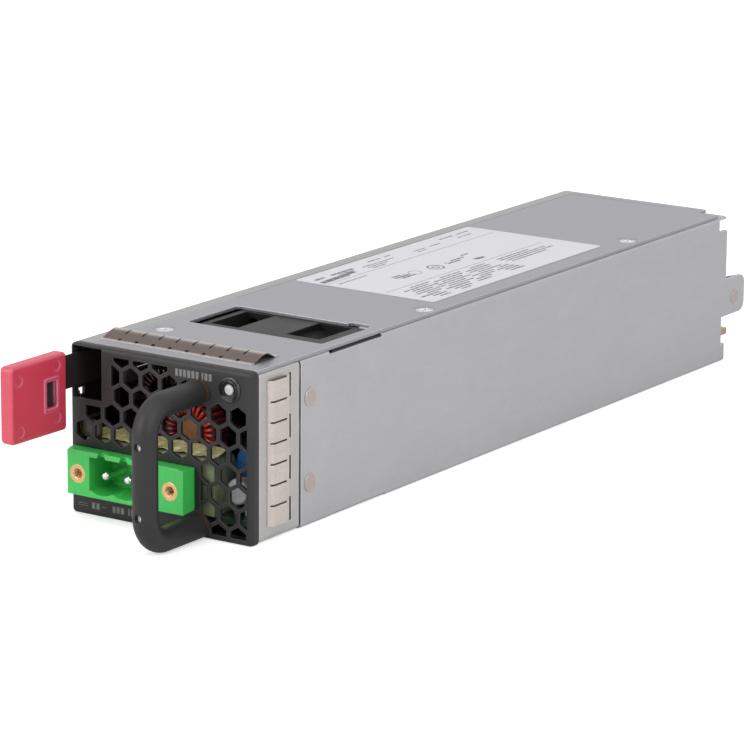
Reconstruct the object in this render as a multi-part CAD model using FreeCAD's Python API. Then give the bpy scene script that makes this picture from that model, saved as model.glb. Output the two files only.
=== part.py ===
import FreeCAD, Part
import math
import os

os.makedirs("parts", exist_ok=True)

# Power supply module, millimetres. While it is built, X runs left to right across the
# front, Y runs back from the front face and Z up from the underside. On export every
# piece moves forward by half the length, so the origin is the middle of the underside.

# Case
WIDTH = 50.5
HEIGHT = 40.0
LENGTH = 214.5
SHEET = 0.8
BEND = 1.0
FLANGE = 7.5
HALF = WIDTH / 2
DECK = HEIGHT - SHEET
REAR_TAB = 10.1

# Front tray
TRAY_SHEET = 0.8
TRAY_DEPTH = 2.6
TRAY_BEND = 1.3
NOTCH_WIDTH = 8.7
NOTCH_BOTTOM = 27.35
NOTCH_TOP = 38.55
HEX_PITCH = 5.4
HEX_FLATS = 4.1
HEX_ROW = HEX_PITCH * math.sqrt(3) / 2

# Front frame
FRAME_FRONT = 2.8
FRAME_REAR = 18.1
FRAME_TAIL = 26.0
FRAME_LIFT = 0.35
SEAM = 0.8
JOGGLE_GAP = 0.05

# Cover
COVER_FRONT = 2.3
COVER_REAR = LENGTH + 0.2
COVER_INSET = 0.4

# Contact strips
STRIP_SHEET = 0.16
TOP_FINGERS = 9
SIDE_FINGERS = 7
SLIT = 0.45

# Handle
BAR_R = 2.9
CORE_R = 1.9
HANDLE_REACH = 19.8
HANDLE_BEND = 6.5
HANDLE_X = 10.7
HANDLE_LOW = 2.9
HANDLE_HIGH = 33.7
COLLAR = 0.8

# Latch
LEAF = 0.4
LEAF_GAP = 0.1
LEAF_LOW = 29.9
LEAF_HIGH = 37.7
LEAF_ROOT = 60.0
LATCH_TAB = 3.4
CATCH_REACH = 1.4

# Input terminal
POLE_PITCH = 6.35
POLE_Z = 11.3
PIN_R = 1.1
PIN_TIP = 4.4
INSERT_R = 2.15
INSERT_BORE_R = 1.25
INSERT_SPAN = 26.0
INSERT_Z = 11.2
INSERT_DEPTH = 8.0
BLOCK_HALF = INSERT_SPAN / 2 + 3.15
BLOCK_MID = max(-6.45, -HALF + 1.25 + BLOCK_HALF)
BLOCK_LEFT = BLOCK_MID - BLOCK_HALF
BLOCK_RIGHT = BLOCK_MID + BLOCK_HALF
POLE_X = BLOCK_MID - 0.05
BLOCK_LOW = 6.2
BLOCK_HIGH = 16.8
BLOCK_NOSE = 5.3

# Fan
FAN = 38.0
FAN_DEPTH = 20.0
FAN_FRONT = 32.2
DUCT_R = 17.3
ROTOR_R = 16.8
HUB_R = 8.8
BLADES = 7
SHAFT_R = 1.0
SHAFT_GAP = 0.03
FAN_RIGHT = HALF - SHEET
FAN_X = FAN_RIGHT - FAN / 2
FAN_Z = SHEET + FAN / 2

# Boards
BOARD = 1.6
MAIN_Z = 5.3
MAIN_TOP = MAIN_Z + BOARD
MAIN_FRONT = 54.5
TONGUE = 8.3
INPUT_Z = 3.3
INPUT_TOP = INPUT_Z + BOARD
STANDOFF_R = 2.5
BOARD_SPAN = LENGTH - MAIN_FRONT
STRETCH = BOARD_SPAN / 160.0
SHRINK = min(1.0, STRETCH)


def board_y(distance):
    # Place on the main board, given as a distance from its front edge at the usual length.
    return MAIN_FRONT + distance * STRETCH


def outline(points, place):
    # Closed flat face from corner points; a third number rounds that corner.
    count = len(points)
    starts = []
    middles = []
    ends = []
    for i in range(count):
        p = points[i]
        r = p[2] if len(p) > 2 else 0.0
        if r <= 0:
            starts.append((p[0], p[1]))
            middles.append(None)
            ends.append((p[0], p[1]))
            continue
        a = points[i - 1]
        b = points[(i + 1) % count]
        la = math.hypot(a[0] - p[0], a[1] - p[1])
        lb = math.hypot(b[0] - p[0], b[1] - p[1])
        ua = ((a[0] - p[0]) / la, (a[1] - p[1]) / la)
        ub = ((b[0] - p[0]) / lb, (b[1] - p[1]) / lb)
        angle = math.acos(max(-1.0, min(1.0, ua[0] * ub[0] + ua[1] * ub[1])))
        run = r / math.tan(angle / 2)
        bis = (ua[0] + ub[0], ua[1] + ub[1])
        lbis = math.hypot(bis[0], bis[1])
        far = r / math.sin(angle / 2) - r
        starts.append((p[0] + ua[0] * run, p[1] + ua[1] * run))
        middles.append((p[0] + bis[0] / lbis * far, p[1] + bis[1] / lbis * far))
        ends.append((p[0] + ub[0] * run, p[1] + ub[1] * run))
    edges = []
    for i in range(count):
        if middles[i] is not None:
            arc = Part.Arc(place(starts[i]), place(middles[i]), place(ends[i]))
            edges.append(arc.toShape())
        nxt = starts[(i + 1) % count]
        if math.hypot(nxt[0] - ends[i][0], nxt[1] - ends[i][1]) > 1e-6:
            edges.append(Part.makeLine(place(ends[i]), place(nxt)))
    return Part.Face(Part.Wire(edges))


def solid(face, vector):
    body = face.extrude(vector)
    if body.Volume < 0:
        body.reverse()
    return body


def prism_x(points, x0, x1):
    # Points are (y, z).
    face = outline(points, lambda p: FreeCAD.Vector(x0, p[0], p[1]))
    return solid(face, FreeCAD.Vector(x1 - x0, 0, 0))


def prism_y(points, y0, y1):
    # Points are (x, z).
    face = outline(points, lambda p: FreeCAD.Vector(p[0], y0, p[1]))
    return solid(face, FreeCAD.Vector(0, y1 - y0, 0))


def prism_z(points, z0, z1):
    # Points are (x, y).
    face = outline(points, lambda p: FreeCAD.Vector(p[0], p[1], z0))
    return solid(face, FreeCAD.Vector(0, 0, z1 - z0))


def box(x0, x1, y0, y1, z0, z1):
    return Part.makeBox(x1 - x0, y1 - y0, z1 - z0, FreeCAD.Vector(x0, y0, z0))


def rod_x(y, z, r, x0, x1):
    return Part.makeCylinder(r, x1 - x0, FreeCAD.Vector(x0, y, z), FreeCAD.Vector(1, 0, 0))


def rod_y(x, z, r, y0, y1):
    return Part.makeCylinder(r, y1 - y0, FreeCAD.Vector(x, y0, z), FreeCAD.Vector(0, 1, 0))


def rod_z(x, y, r, z0, z1):
    return Part.makeCylinder(r, z1 - z0, FreeCAD.Vector(x, y, z0), FreeCAD.Vector(0, 0, 1))


def rounded(x0, x1, z0, z1, r):
    return [(x0, z0, r), (x1, z0, r), (x1, z1, r), (x0, z1, r)]


def fuse(shapes):
    result = shapes[0]
    if len(shapes) > 1:
        result = shapes[0].multiFuse(shapes[1:])
    return result.removeSplitter()


def cut(shape, tools):
    return shape.cut(Part.makeCompound(tools))


def mirror_x(shape):
    return shape.mirror(FreeCAD.Vector(0, 0, 0), FreeCAD.Vector(1, 0, 0))


def save(node, shapes):
    group = shapes if isinstance(shapes, list) else [shapes]
    body = group[0] if len(group) == 1 else Part.makeCompound(group)
    body = body.copy()
    body.translate(FreeCAD.Vector(0, -LENGTH / 2, 0))
    body.exportStep("parts/" + node + ".step")


def channel(low, y0, y1, flange):
    # Bent sheet: bottom, two walls and two inward top flanges.
    inner = HALF - SHEET
    path = [
        (-HALF + flange, DECK), (-HALF, DECK, BEND), (-HALF, low, BEND),
        (HALF, low, BEND), (HALF, DECK, BEND), (HALF - flange, DECK),
        (HALF - flange, DECK - SHEET), (inner, DECK - SHEET, BEND - SHEET),
        (inner, low + SHEET, BEND - SHEET), (-inner, low + SHEET, BEND - SHEET),
        (-inner, DECK - SHEET, BEND - SHEET), (-HALF + flange, DECK - SHEET),
    ]
    return prism_y(path, y0, y1)


# Chassis
chassis_front = FRAME_REAR + SEAM
tab_end = LENGTH + REAR_TAB
rear_path = [
    (chassis_front, 0), (LENGTH - 0.2, 0), (LENGTH - 0.2, 4.8), (LENGTH - 2.0, 4.8),
    (LENGTH - 2.0, 12.1), (tab_end, 12.1, 2.5), (tab_end, 22.0, 2.5), (LENGTH, 22.0),
    (LENGTH, 35.5, 0.8), (LENGTH - 4.2, 35.5), (LENGTH - 4.2, DECK - 0.7),
    (LENGTH - 0.45, DECK - 0.7), (LENGTH - 0.45, DECK), (chassis_front, DECK),
]
chassis = channel(0, chassis_front, tab_end, FLANGE)
chassis = chassis.common(prism_x(rear_path, -HALF, HALF))
window_left = -16.0
window_right = 22.0
window_front = 31.65
window_rear = 51.75
catch_front = 21.4
catch_rear = 29.4
frame_rivets_right = [(22.5, 30.0), (22.5, 10.1)]
frame_rivets_left = [(22.5, 24.0), (22.5, 10.1)]
rivet_shank = 1.3
rear_rivet_y = LENGTH + 5.1
rear_rivet_z = 16.4
rear_rivet_r = 1.3
leaf_rivets = [54.6, 57.6]
leaf_rivet_z = (LEAF_LOW + LEAF_HIGH) / 2
leaf_rivet_r = 0.9
screw_r = 1.25
tongue_screw = (-16.1, 23.2)
flange_screws = [(21.5, 74.7), (21.2, LENGTH - 45.2)]
relief_front = 30.2
relief_rear = 51.5
standoffs = [(-19.0, board_y(9.5)), (10.0, board_y(64.0)), (-19.0, board_y(91.5)), (15.8, board_y(137.5))]
fan_screw = (-18.6, 42.2)
tools = [
    prism_z(rounded(window_left, window_right, window_front, window_rear, 0.6), -1, SHEET + 0.5),
    box(HALF - BEND, HALF + 1, relief_front, relief_rear, DECK - 0.8, HEIGHT),
    box(HALF - FLANGE - 1, HALF - SHEET, relief_front, FAN_FRONT + FAN_DEPTH + 0.6, DECK - 3.2, HEIGHT),
    box(HALF - BEND, HALF + 1, 30.9, 53.5, -1, 0.7),
    box(-HALF - 1, -HALF + 2, catch_front, catch_rear, LEAF_LOW - 0.4, LEAF_HIGH + 0.4),
]
for y, z in frame_rivets_right:
    tools.append(rod_x(y, z, rivet_shank, HALF - 2, HALF + 1))
for y, z in frame_rivets_left:
    tools.append(rod_x(y, z, rivet_shank, -HALF - 1, -HALF + 2))
for y in leaf_rivets:
    tools.append(rod_x(y, leaf_rivet_z, leaf_rivet_r, -HALF - 1, -HALF + 2))
for side in (-1, 1):
    x0 = min(side * (HALF - 2), side * (HALF + 1))
    tools.append(rod_x(rear_rivet_y, rear_rivet_z, rear_rivet_r, x0, x0 + 3))
for x, y in standoffs + [fan_screw]:
    tools.append(rod_z(x, y, 1.2, -1, 2))
chassis = chassis.cut(Part.makeCompound(tools))
tongue = box(-HALF + FLANGE - 0.1, tongue_screw[0] + 3.4, chassis_front, 27.6, DECK - SHEET, DECK)
chassis = fuse([chassis, tongue])
chassis = cut(chassis, [rod_z(x, y, screw_r, 30, HEIGHT) for x, y in flange_screws + [tongue_screw]])
save("chassis", chassis)

# Front frame with joggled tongues behind the walls and inside the tray
frame = channel(FRAME_LIFT, FRAME_FRONT, FRAME_REAR, 4.5)
inner = HALF - SHEET
tail_out = inner - JOGGLE_GAP
tail_plan = [
    (inner - 0.85, FRAME_REAR - 2.4), (inner, FRAME_REAR - 2.4), (inner, FRAME_REAR - 0.4),
    (tail_out, FRAME_REAR), (tail_out, FRAME_TAIL, 0.3), (tail_out - SHEET, FRAME_TAIL, 0.3),
]
tray_in = HALF - TRAY_SHEET - JOGGLE_GAP
nose_plan = [
    (tray_in - SHEET, 1.4), (tray_in, 1.4), (tray_in, FRAME_FRONT - 0.1),
    (inner, FRAME_FRONT + 0.2), (inner, 5.0), (tray_in - SHEET, 5.0),
]
pieces = [frame]
for z0, z1 in ((5.5, 14.0), (25.5, 34.5)):
    pieces.append(prism_z(tail_plan, z0, z1))
    pieces.append(prism_z(nose_plan, z0, z1 - 2))
for z0, z1 in ((5.5, 14.0), (HEIGHT / 2, NOTCH_BOTTOM - 0.75)):
    pieces.append(mirror_x(prism_z(tail_plan, z0, z1)))
    pieces.append(mirror_x(prism_z(nose_plan, z0, z1 - 1)))
frame = fuse(pieces)
finger_pitch_side = 4.79
side_top = 37.0
clip_slots = [side_top - finger_pitch_side * (i + 0.5) for i in (0, 2, 4, 6)]
side_notch_rear = 3.9
tools = [box(-HALF - 1, -HALF + 2, 0, side_notch_rear, NOTCH_BOTTOM, NOTCH_TOP - 0.1)]
for z in clip_slots:
    tools.append(box(HALF - 2, HALF + 1, 14.2, 15.1, z - 2.8, z + 2.8))
for y, z in frame_rivets_right:
    tools.append(rod_x(y, z, rivet_shank, HALF - 3, HALF + 1))
for y, z in frame_rivets_left:
    tools.append(rod_x(y, z, rivet_shank, -HALF - 1, -HALF + 3))
input_posts = [(-19.5, 14.0), (11.6, 14.0)]
for x, y in input_posts:
    tools.append(rod_z(x, y, 1.2, -1, 3))
frame = cut(frame, tools)
save("front_frame", frame)

# Top cover
c_left = -HALF + COVER_INSET
c_right = HALF - COVER_INSET
cover_plan = [
    (c_left, COVER_FRONT, 0.5), (c_right, COVER_FRONT, 0.5), (c_right, COVER_REAR - 4.6),
    (c_right - 6.3, COVER_REAR - 4.6), (c_right - 6.3, COVER_REAR), (c_left, COVER_REAR, 0.5),
]
cover = prism_z(cover_plan, DECK, HEIGHT)
notch_left = 15.4
notch_right = 21.1
window_plan = [
    (window_left, window_front, 0.8), (window_right, window_front, 0.8),
    (window_right, window_rear, 0.4), (notch_right, window_rear), (notch_right, 53.3, 0.5),
    (notch_left, 53.3, 0.5), (notch_left, window_rear), (window_left, window_rear, 0.8),
]
tools = [prism_z(window_plan, DECK - 1, HEIGHT + 1)]
cover_screws = []
dimple = 0.25
head_r = 2.1
head_deep = 0.5
for x, y in flange_screws + [tongue_screw]:
    tools.append(Part.makeCone(head_r + 0.4, head_r + 1.0, dimple + 0.01,
                 FreeCAD.Vector(x, y, HEIGHT - dimple)))
    tools.append(rod_z(x, y, screw_r, DECK - 1, HEIGHT))
    tools.append(Part.makeCone(screw_r, head_r, head_deep,
                 FreeCAD.Vector(x, y, HEIGHT - dimple - head_deep)))
    head = Part.makeCone(screw_r, head_r, head_deep, FreeCAD.Vector(x, y, HEIGHT - dimple - head_deep))
    shank = rod_z(x, y, screw_r, DECK - SHEET - 1.6, HEIGHT - dimple - head_deep)
    slot_a = box(x - 1.2, x + 1.2, y - 0.2, y + 0.2, HEIGHT - dimple - 0.4, HEIGHT)
    slot_b = box(x - 0.2, x + 0.2, y - 1.2, y + 1.2, HEIGHT - dimple - 0.4, HEIGHT)
    cover_screws.append(cut(fuse([head, shank]), [slot_a, slot_b]))
cover = cut(cover, tools)
save("top_cover", cover)
save("cover_screws", cover_screws)
label = prism_z(rounded(-20.5, 19.8, 81.4, LENGTH - 55.5, 1.0), HEIGHT, HEIGHT + 0.12)
save("rating_label", label)

# Front tray with hexagon perforation
tray = box(-HALF, HALF, 0, TRAY_DEPTH, 0, HEIGHT)


def corner_edges(shape, depth):
    # Edges round the front face and the four corner edges running back from it.
    found = []
    for edge in shape.Edges:
        ys = [v.Point.y for v in edge.Vertexes]
        if min(ys) < depth + 1e-6 and not (abs(ys[0] - TRAY_DEPTH) < 1e-6 and abs(ys[1] - TRAY_DEPTH) < 1e-6):
            found.append(edge)
    return found


tray = tray.makeFillet(TRAY_BEND, corner_edges(tray, 0.0))
hollow = prism_y(rounded(-HALF + TRAY_SHEET, HALF - TRAY_SHEET, TRAY_SHEET, HEIGHT - TRAY_SHEET, 0.5),
                 TRAY_SHEET, TRAY_DEPTH + 1)
skirt_low = NOTCH_BOTTOM + 1.55
skirt_high = NOTCH_TOP - 1.55
tools = [hollow, box(-HALF + TRAY_SHEET, -HALF + NOTCH_WIDTH, -1, TRAY_DEPTH + 1, NOTCH_BOTTOM, NOTCH_TOP)]
tools.append(box(-HALF - 1, -HALF + TRAY_SHEET + 0.2, -1, TRAY_DEPTH + 1, skirt_low, skirt_high))
tools.append(box(-HALF - 1, HALF + 1, COVER_FRONT, TRAY_DEPTH + 1, DECK, HEIGHT + 1))
regions = [
    (-13.9, 3.0, 18.6, 37.6), (3.0, 23.9, 18.6, 31.8), (3.0, 7.0, 31.8, 35.4),
    (-24.0, -13.9, 18.6, 26.3), (11.0, 23.9, 1.35, 18.6),
]
zone = fuse([box(a, b, -1, 3, c, d) for a, b, c, d in regions])
hex_side = HEX_FLATS / math.sqrt(3)
holes = []
for row in range(9):
    z = 38.83 - HEX_ROW * row
    start = -21.55 if row % 2 == 0 else -18.85
    for column in range(9):
        x = start + HEX_PITCH * column
        corners = []
        for k in range(6):
            a = math.radians(30 + 60 * k)
            corners.append((x + hex_side * math.cos(a), z + hex_side * math.sin(a)))
        hole = prism_y(corners, -1, 3).common(zone)
        if hole.Volume > 4 * 0.9:
            holes.append(hole)
tools.append(Part.makeCompound(holes))
led_x = 19.29
led_z = 35.47
led_barrel = 2.1
tools.append(rod_y(led_x, led_z, led_barrel + 0.03, -1, 3))
fit = 0.1
tools.append(box(BLOCK_LEFT - fit, BLOCK_RIGHT + fit, -1, 3, BLOCK_LOW - fit, BLOCK_HIGH + fit))
handle_screw_r = 1.0
for z in (HANDLE_LOW, HANDLE_HIGH):
    tools.append(rod_y(HANDLE_X, z, handle_screw_r, -1, 3))
for tool in tools:
    tray = tray.cut(tool)
save("front_grille_panel", tray)

# Status light
lens_r = 1.4
bezel = cut(fuse([Part.makeCone(3.05, 2.75, 0.5, FreeCAD.Vector(led_x, 0, led_z), FreeCAD.Vector(0, -1, 0)),
                  Part.makeCone(2.1, 1.9, 0.6, FreeCAD.Vector(led_x, -0.5, led_z), FreeCAD.Vector(0, -1, 0)),
                  rod_y(led_x, led_z, led_barrel, 0, 3.4)]),
            [rod_y(led_x, led_z, lens_r + 0.02, -2, 4)])
save("led_bezel", bezel)
lens = fuse([rod_y(led_x, led_z, lens_r, -0.8, 4.4),
             Part.makeSphere(lens_r, FreeCAD.Vector(led_x, -0.8, led_z)),
             rod_y(led_x, led_z, 1.9, 3.4, 4.4)])
save("led_lens", lens)


# Contact finger strips
def strip_section(points):
    # Closed section of a bent strip from the line of its outer side, as (along, height) pairs.
    lower = []
    for i in range(len(points)):
        a = points[max(i - 1, 0)]
        b = points[min(i + 1, len(points) - 1)]
        run = math.hypot(b[0] - a[0], b[1] - a[1])
        lower.append((points[i][0] + (b[1] - a[1]) / run * STRIP_SHEET,
                      points[i][1] - (b[0] - a[0]) / run * STRIP_SHEET))
    lower[0] = (points[0][0], 0)
    lower[1] = (points[1][0] + 0.04, 0)
    lower[-1] = (points[-1][0], 0)
    lower[-2] = (points[-2][0] - 0.04, 0)
    return points + list(reversed(lower))


top_left = -21.7
top_pitch = 4.72
top_right = top_left + top_pitch * TOP_FINGERS
top_line = [(6.2, STRIP_SHEET), (7.1, STRIP_SHEET), (9.6, 1.18), (10.6, 1.5), (11.3, 1.66), (11.9, 1.7),
            (12.5, 1.58), (13.2, 1.25), (15.2, STRIP_SHEET), (16.6, STRIP_SHEET)]
section = strip_section(top_line)
strip = prism_x([(y, z + HEIGHT) for y, z in section], top_left, top_right)
tools = []
for k in range(1, TOP_FINGERS):
    x = top_left + top_pitch * k
    tools.append(box(x - SLIT / 2, x + SLIT / 2, 9.6, 14.4, HEIGHT - 1, HEIGHT + 3))
    tools.append(box(x - 0.45, x + 0.45, 7.1, 7.9, HEIGHT - 1, HEIGHT + 3))
strip = cut(strip, tools)
save("top_finger_strip", strip)
side_line = [(5.7, STRIP_SHEET), (6.1, STRIP_SHEET), (6.9, 1.0), (7.3, 1.1), (11.6, 1.1), (12.2, 0.95),
             (13.2, STRIP_SHEET), (14.1, STRIP_SHEET)]
section = strip_section(side_line)
side_low = side_top - finger_pitch_side * SIDE_FINGERS
strip = prism_z([(HALF + h, y) for y, h in section], side_low, side_top)
tools = []
for k in range(1, SIDE_FINGERS):
    z = side_top - finger_pitch_side * k
    tools.append(box(HALF - 1, HALF + 3, 6.4, 13.0, z - SLIT / 2, z + SLIT / 2))
strip = cut(strip, tools)
save("side_finger_strip", strip)


# Handle: steel core rod inside a moulded grip
def bent_bar(r, y_end):
    back = -HANDLE_REACH
    b = HANDLE_BEND
    parts = [
        rod_y(HANDLE_X, HANDLE_HIGH, r, back + b, y_end),
        rod_y(HANDLE_X, HANDLE_LOW, r, back + b, y_end),
        rod_z(HANDLE_X, back, r, HANDLE_LOW + b, HANDLE_HIGH - b),
    ]
    for z, tilt in ((HANDLE_LOW + b, -90), (HANDLE_HIGH - b, 180)):
        ring = Part.makeTorus(b, r, FreeCAD.Vector(0, 0, 0), FreeCAD.Vector(0, 0, 1), 0, 360, 90)
        ring.rotate(FreeCAD.Vector(0, 0, 0), FreeCAD.Vector(0, 1, 0), 90)
        ring.rotate(FreeCAD.Vector(0, 0, 0), FreeCAD.Vector(1, 0, 0), tilt)
        ring.translate(FreeCAD.Vector(HANDLE_X, back + b, z))
        parts.append(ring)
    return fuse(parts)


core = bent_bar(CORE_R, -COLLAR)
for z in (HANDLE_LOW, HANDLE_HIGH):
    core = core.fuse(rod_y(HANDLE_X, z, BAR_R - 0.05, -COLLAR, 0))
core = core.removeSplitter()
bore = bent_bar(CORE_R + 0.03, -COLLAR + 1)
grip = bent_bar(BAR_R, -COLLAR)
grip = grip.cut(bore)
locating_low = 9.6
locating_high = 25.7
tools = [rod_y(HANDLE_X, z, 0.9, -HANDLE_REACH - 4, -HANDLE_REACH) for z in (locating_low, locating_high)]
grip = cut(grip, [tool.cut(bore) for tool in tools])
handle_screws = []
thread = 5.0
for z in (HANDLE_LOW, HANDLE_HIGH):
    core = core.cut(rod_y(HANDLE_X, z, handle_screw_r, -thread - 0.5, 1))
    screw = fuse([rod_y(HANDLE_X, z, handle_screw_r, -thread, TRAY_SHEET),
                  rod_y(HANDLE_X, z, 1.8, TRAY_SHEET, TRAY_SHEET + 1.3)])
    socket = []
    for k in range(6):
        a = math.radians(60 * k)
        socket.append((HANDLE_X + 0.85 * math.cos(a), z + 0.85 * math.sin(a)))
    handle_screws.append(screw.cut(prism_y(socket, TRAY_SHEET + 0.5, TRAY_SHEET + 2)))
save("handle_core", core)
save("handle_grip", grip)
save("handle_screws", handle_screws)

# Release latch
leaf_x = -HALF + SHEET + LEAF_GAP
tab_front = -24.2
tab_rear = -4.3
tab_x = -HALF - 1.2
tab_face = tab_x + LATCH_TAB
tab_low = 20.8
tab_high = 39.0
slot_front = -11.8
slot_rear = -8.1
slot_low = 27.0
slot_high = 33.2
strap = prism_x(rounded(tab_rear - 4, LEAF_ROOT, LEAF_LOW, LEAF_HIGH, 1.0), leaf_x, leaf_x + LEAF)
paddle = prism_x(rounded(tab_front + 1.6, tab_rear - 1.4, tab_low + 1.8, tab_high - 1.8, 1.0), leaf_x, leaf_x + LEAF)
pivot_bead = rod_z(leaf_x + LEAF / 2, LEAF_ROOT, LEAF / 2, LEAF_LOW + 1.0, LEAF_HIGH - 1.0)
catch_x = -HALF - CATCH_REACH
catch_plan = [
    (leaf_x + 0.1, catch_front + 0.6), (leaf_x, catch_front + 0.6), (catch_x, catch_rear - 1.9, 0.4),
    (catch_x, catch_rear - 0.8), (leaf_x, catch_rear - 0.5), (leaf_x + 0.1, catch_rear - 0.5),
]
catch = prism_z(catch_plan, LEAF_LOW + 1.2, LEAF_HIGH - 1.2)
leaf = fuse([strap, paddle, pivot_bead, catch])
leaf_holes = [rod_x(y, leaf_rivet_z, leaf_rivet_r + 0.3, leaf_x - 1, leaf_x + 2) for y in leaf_rivets]
leaf_holes.append(box(leaf_x - 1, leaf_x + 1, slot_rear - 0.5, slot_rear, slot_low + 0.6, slot_high - 0.6))
leaf = cut(leaf, leaf_holes)
tab = prism_x([(tab_front, tab_low + 0.2, 1.5), (tab_rear, tab_low, 1.0), (tab_rear, tab_high, 1.0),
               (tab_front, tab_high, 1.2)], tab_x, tab_face)
rims = []
for edge in tab.Edges:
    xs = [v.Point.x for v in edge.Vertexes]
    if all(abs(x - tab_x) < 1e-6 for x in xs) or all(abs(x - tab_face) < 1e-6 for x in xs):
        rims.append(edge)
tab = tab.makeFillet(0.75, rims)
rim = prism_x(rounded(slot_front - 0.7, slot_rear + 0.9, slot_low - 0.9, slot_high + 0.8, 0.6),
              tab_face - 0.5, tab_face + 0.2)
tab = fuse([tab, rim])
slot = prism_x(rounded(slot_front, slot_rear, slot_low, slot_high, 0.3), tab_x - 1, tab_face + 1)
ejector_marks = [(-21.4, 35.4), (-7.9, 36.4), (-21.0, 23.6), (-7.9, 24.3)]
marks = [rod_x(y, z, 1.2, tab_face - 0.12, tab_face + 1) for y, z in ejector_marks]
tab = cut(tab, [slot, leaf] + marks)
save("latch_leaf", leaf)
save("latch_tab", tab)
latch_rivets = []
head_gap = 0.45
for y in leaf_rivets:
    latch_rivets.append(fuse([
        rod_x(y, leaf_rivet_z, leaf_rivet_r, -HALF - 0.3, leaf_x + LEAF + head_gap + 0.5),
        rod_x(y, leaf_rivet_z, 1.4, -HALF - 0.3, -HALF),
        rod_x(y, leaf_rivet_z, 1.4, leaf_x + LEAF + head_gap, leaf_x + LEAF + head_gap + 0.5)]))
save("latch_rivets", latch_rivets)

# Wall rivets
frame_rivets = []
for side, spots in ((1, frame_rivets_right), (-1, frame_rivets_left)):
    for y, z in spots:
        rivet = fuse([
            rod_x(y, z, rivet_shank, tail_out - SHEET - 0.6, HALF + 0.2),
            rod_x(y, z, 2.15, HALF, HALF + 0.2),
            rod_x(y, z, 1.9, tail_out - SHEET - 0.6, tail_out - SHEET)])
        frame_rivets.append(rivet if side > 0 else mirror_x(rivet))
save("frame_rivets", frame_rivets)
guides = []
rear_rivets = []
for side in (1, -1):
    guide = prism_z([(HALF - SHEET - 2.0, LENGTH - 0.8, 0.5), (HALF - SHEET, LENGTH - 0.8),
                     (HALF - SHEET, tab_end - 1.0), (HALF - SHEET - 0.9, tab_end - 1.0, 0.4),
                     (HALF - SHEET - 2.0, tab_end - 4.0)], 12.6, 21.5)
    guide = guide.cut(rod_x(rear_rivet_y, rear_rivet_z, rear_rivet_r, HALF - 6, HALF))
    rivet = fuse([
        rod_x(rear_rivet_y, rear_rivet_z, rear_rivet_r, HALF - SHEET - 2.0, HALF + 0.15),
        rod_x(rear_rivet_y, rear_rivet_z, 1.95, HALF, HALF + 0.15)])
    guides.append(guide if side > 0 else mirror_x(guide))
    rear_rivets.append(rivet if side > 0 else mirror_x(rivet))
save("rear_guides", guides)
save("rear_rivets", rear_rivets)

# Input terminal
block_back = 5.6
top_c = 1.3
face_path = [
    (BLOCK_LEFT, BLOCK_LOW), (BLOCK_RIGHT, BLOCK_LOW), (BLOCK_RIGHT, BLOCK_HIGH - top_c),
    (BLOCK_RIGHT - top_c, BLOCK_HIGH), (BLOCK_LEFT + top_c, BLOCK_HIGH), (BLOCK_LEFT, BLOCK_HIGH - top_c),
]
housing = prism_y(face_path, -BLOCK_NOSE, block_back)
housing = housing.fuse(box(BLOCK_LEFT + 0.4, BLOCK_RIGHT - 0.4, 1.6, block_back, INPUT_TOP, BLOCK_LOW))
recess_left = POLE_X - 9.75
recess_right = POLE_X + 9.75
recess_low = 8.2
recess_high = 15.2
recess_back = 3.4
cavity = [box(recess_left, recess_right, -BLOCK_NOSE - 1, recess_back, recess_low, recess_high),
          box(recess_left, recess_left + 3.2, -BLOCK_NOSE - 1, recess_back, recess_high - 1, recess_high + 0.4)]
scallop_r = 4.3
pins = []
tails = []
for k in (-1, 0, 1):
    x = POLE_X + POLE_PITCH * k
    cavity.append(rod_y(x, POLE_Z, scallop_r, -BLOCK_NOSE - 1, recess_back).common(
        box(x - 3.1, x + 3.1, -10, 10, 5, POLE_Z)))
    cavity.append(box(x - 0.9, x - 0.2, -BLOCK_NOSE - 1, recess_back, recess_high - 1, recess_high + 0.9))
    shaft = rod_y(x, POLE_Z, PIN_R, PIN_R - PIN_TIP, block_back - 1.0)
    dome = Part.makeSphere(PIN_R, FreeCAD.Vector(x, PIN_R - PIN_TIP, POLE_Z))
    leg = box(x - 0.5, x + 0.5, block_back - 2.0, block_back - 1.0, INPUT_Z - 0.9, POLE_Z)
    pins.append(fuse([shaft, dome, leg]))
housing = cut(housing, cavity)
inserts = []
for side in (-1, 1):
    x = BLOCK_MID - 0.115 + side * INSERT_SPAN / 2
    barrel = rod_y(x, INSERT_Z, INSERT_R, -BLOCK_NOSE, -BLOCK_NOSE + INSERT_DEPTH)
    housing = housing.cut(barrel)
    inserts.append(barrel.cut(rod_y(x, INSERT_Z, INSERT_BORE_R, -BLOCK_NOSE - 1, block_back)))
for pin in pins:
    housing = housing.cut(pin)
save("terminal_housing", housing.removeSplitter())
save("terminal_pins", pins)
save("terminal_inserts", inserts)

# Input board and what stands on it
input_board = box(-22.9, 22.9, 3.2, 30.4, INPUT_Z, INPUT_TOP)
tools = [pin.common(box(-30, 30, 0, 9, INPUT_Z - 2, INPUT_TOP + 1)) for pin in pins]
chassis_posts = [(-19.5, 27.0), (18.5, 27.0)]
for x, y in input_posts + chassis_posts:
    tools.append(rod_z(x, y, 1.2, 0, 8))
wrap_right = 13.8
wrap_top = BLOCK_HIGH + 1.1
wrap_rear = 9.6
insulator = prism_y([(-22.3, INPUT_TOP, 0.3), (wrap_right, INPUT_TOP, 0.3), (wrap_right, wrap_top, 1.0),
                     (-22.3, wrap_top, 1.0)], block_back + 0.4, wrap_rear)
insulator = fuse([insulator,
                  box(-22.3, BLOCK_RIGHT + 0.3, 1.6, block_back + 0.4, BLOCK_HIGH, wrap_top),
                  box(BLOCK_RIGHT + 0.3, wrap_right, 1.6, block_back + 0.4, INPUT_TOP, wrap_top)])
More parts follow.
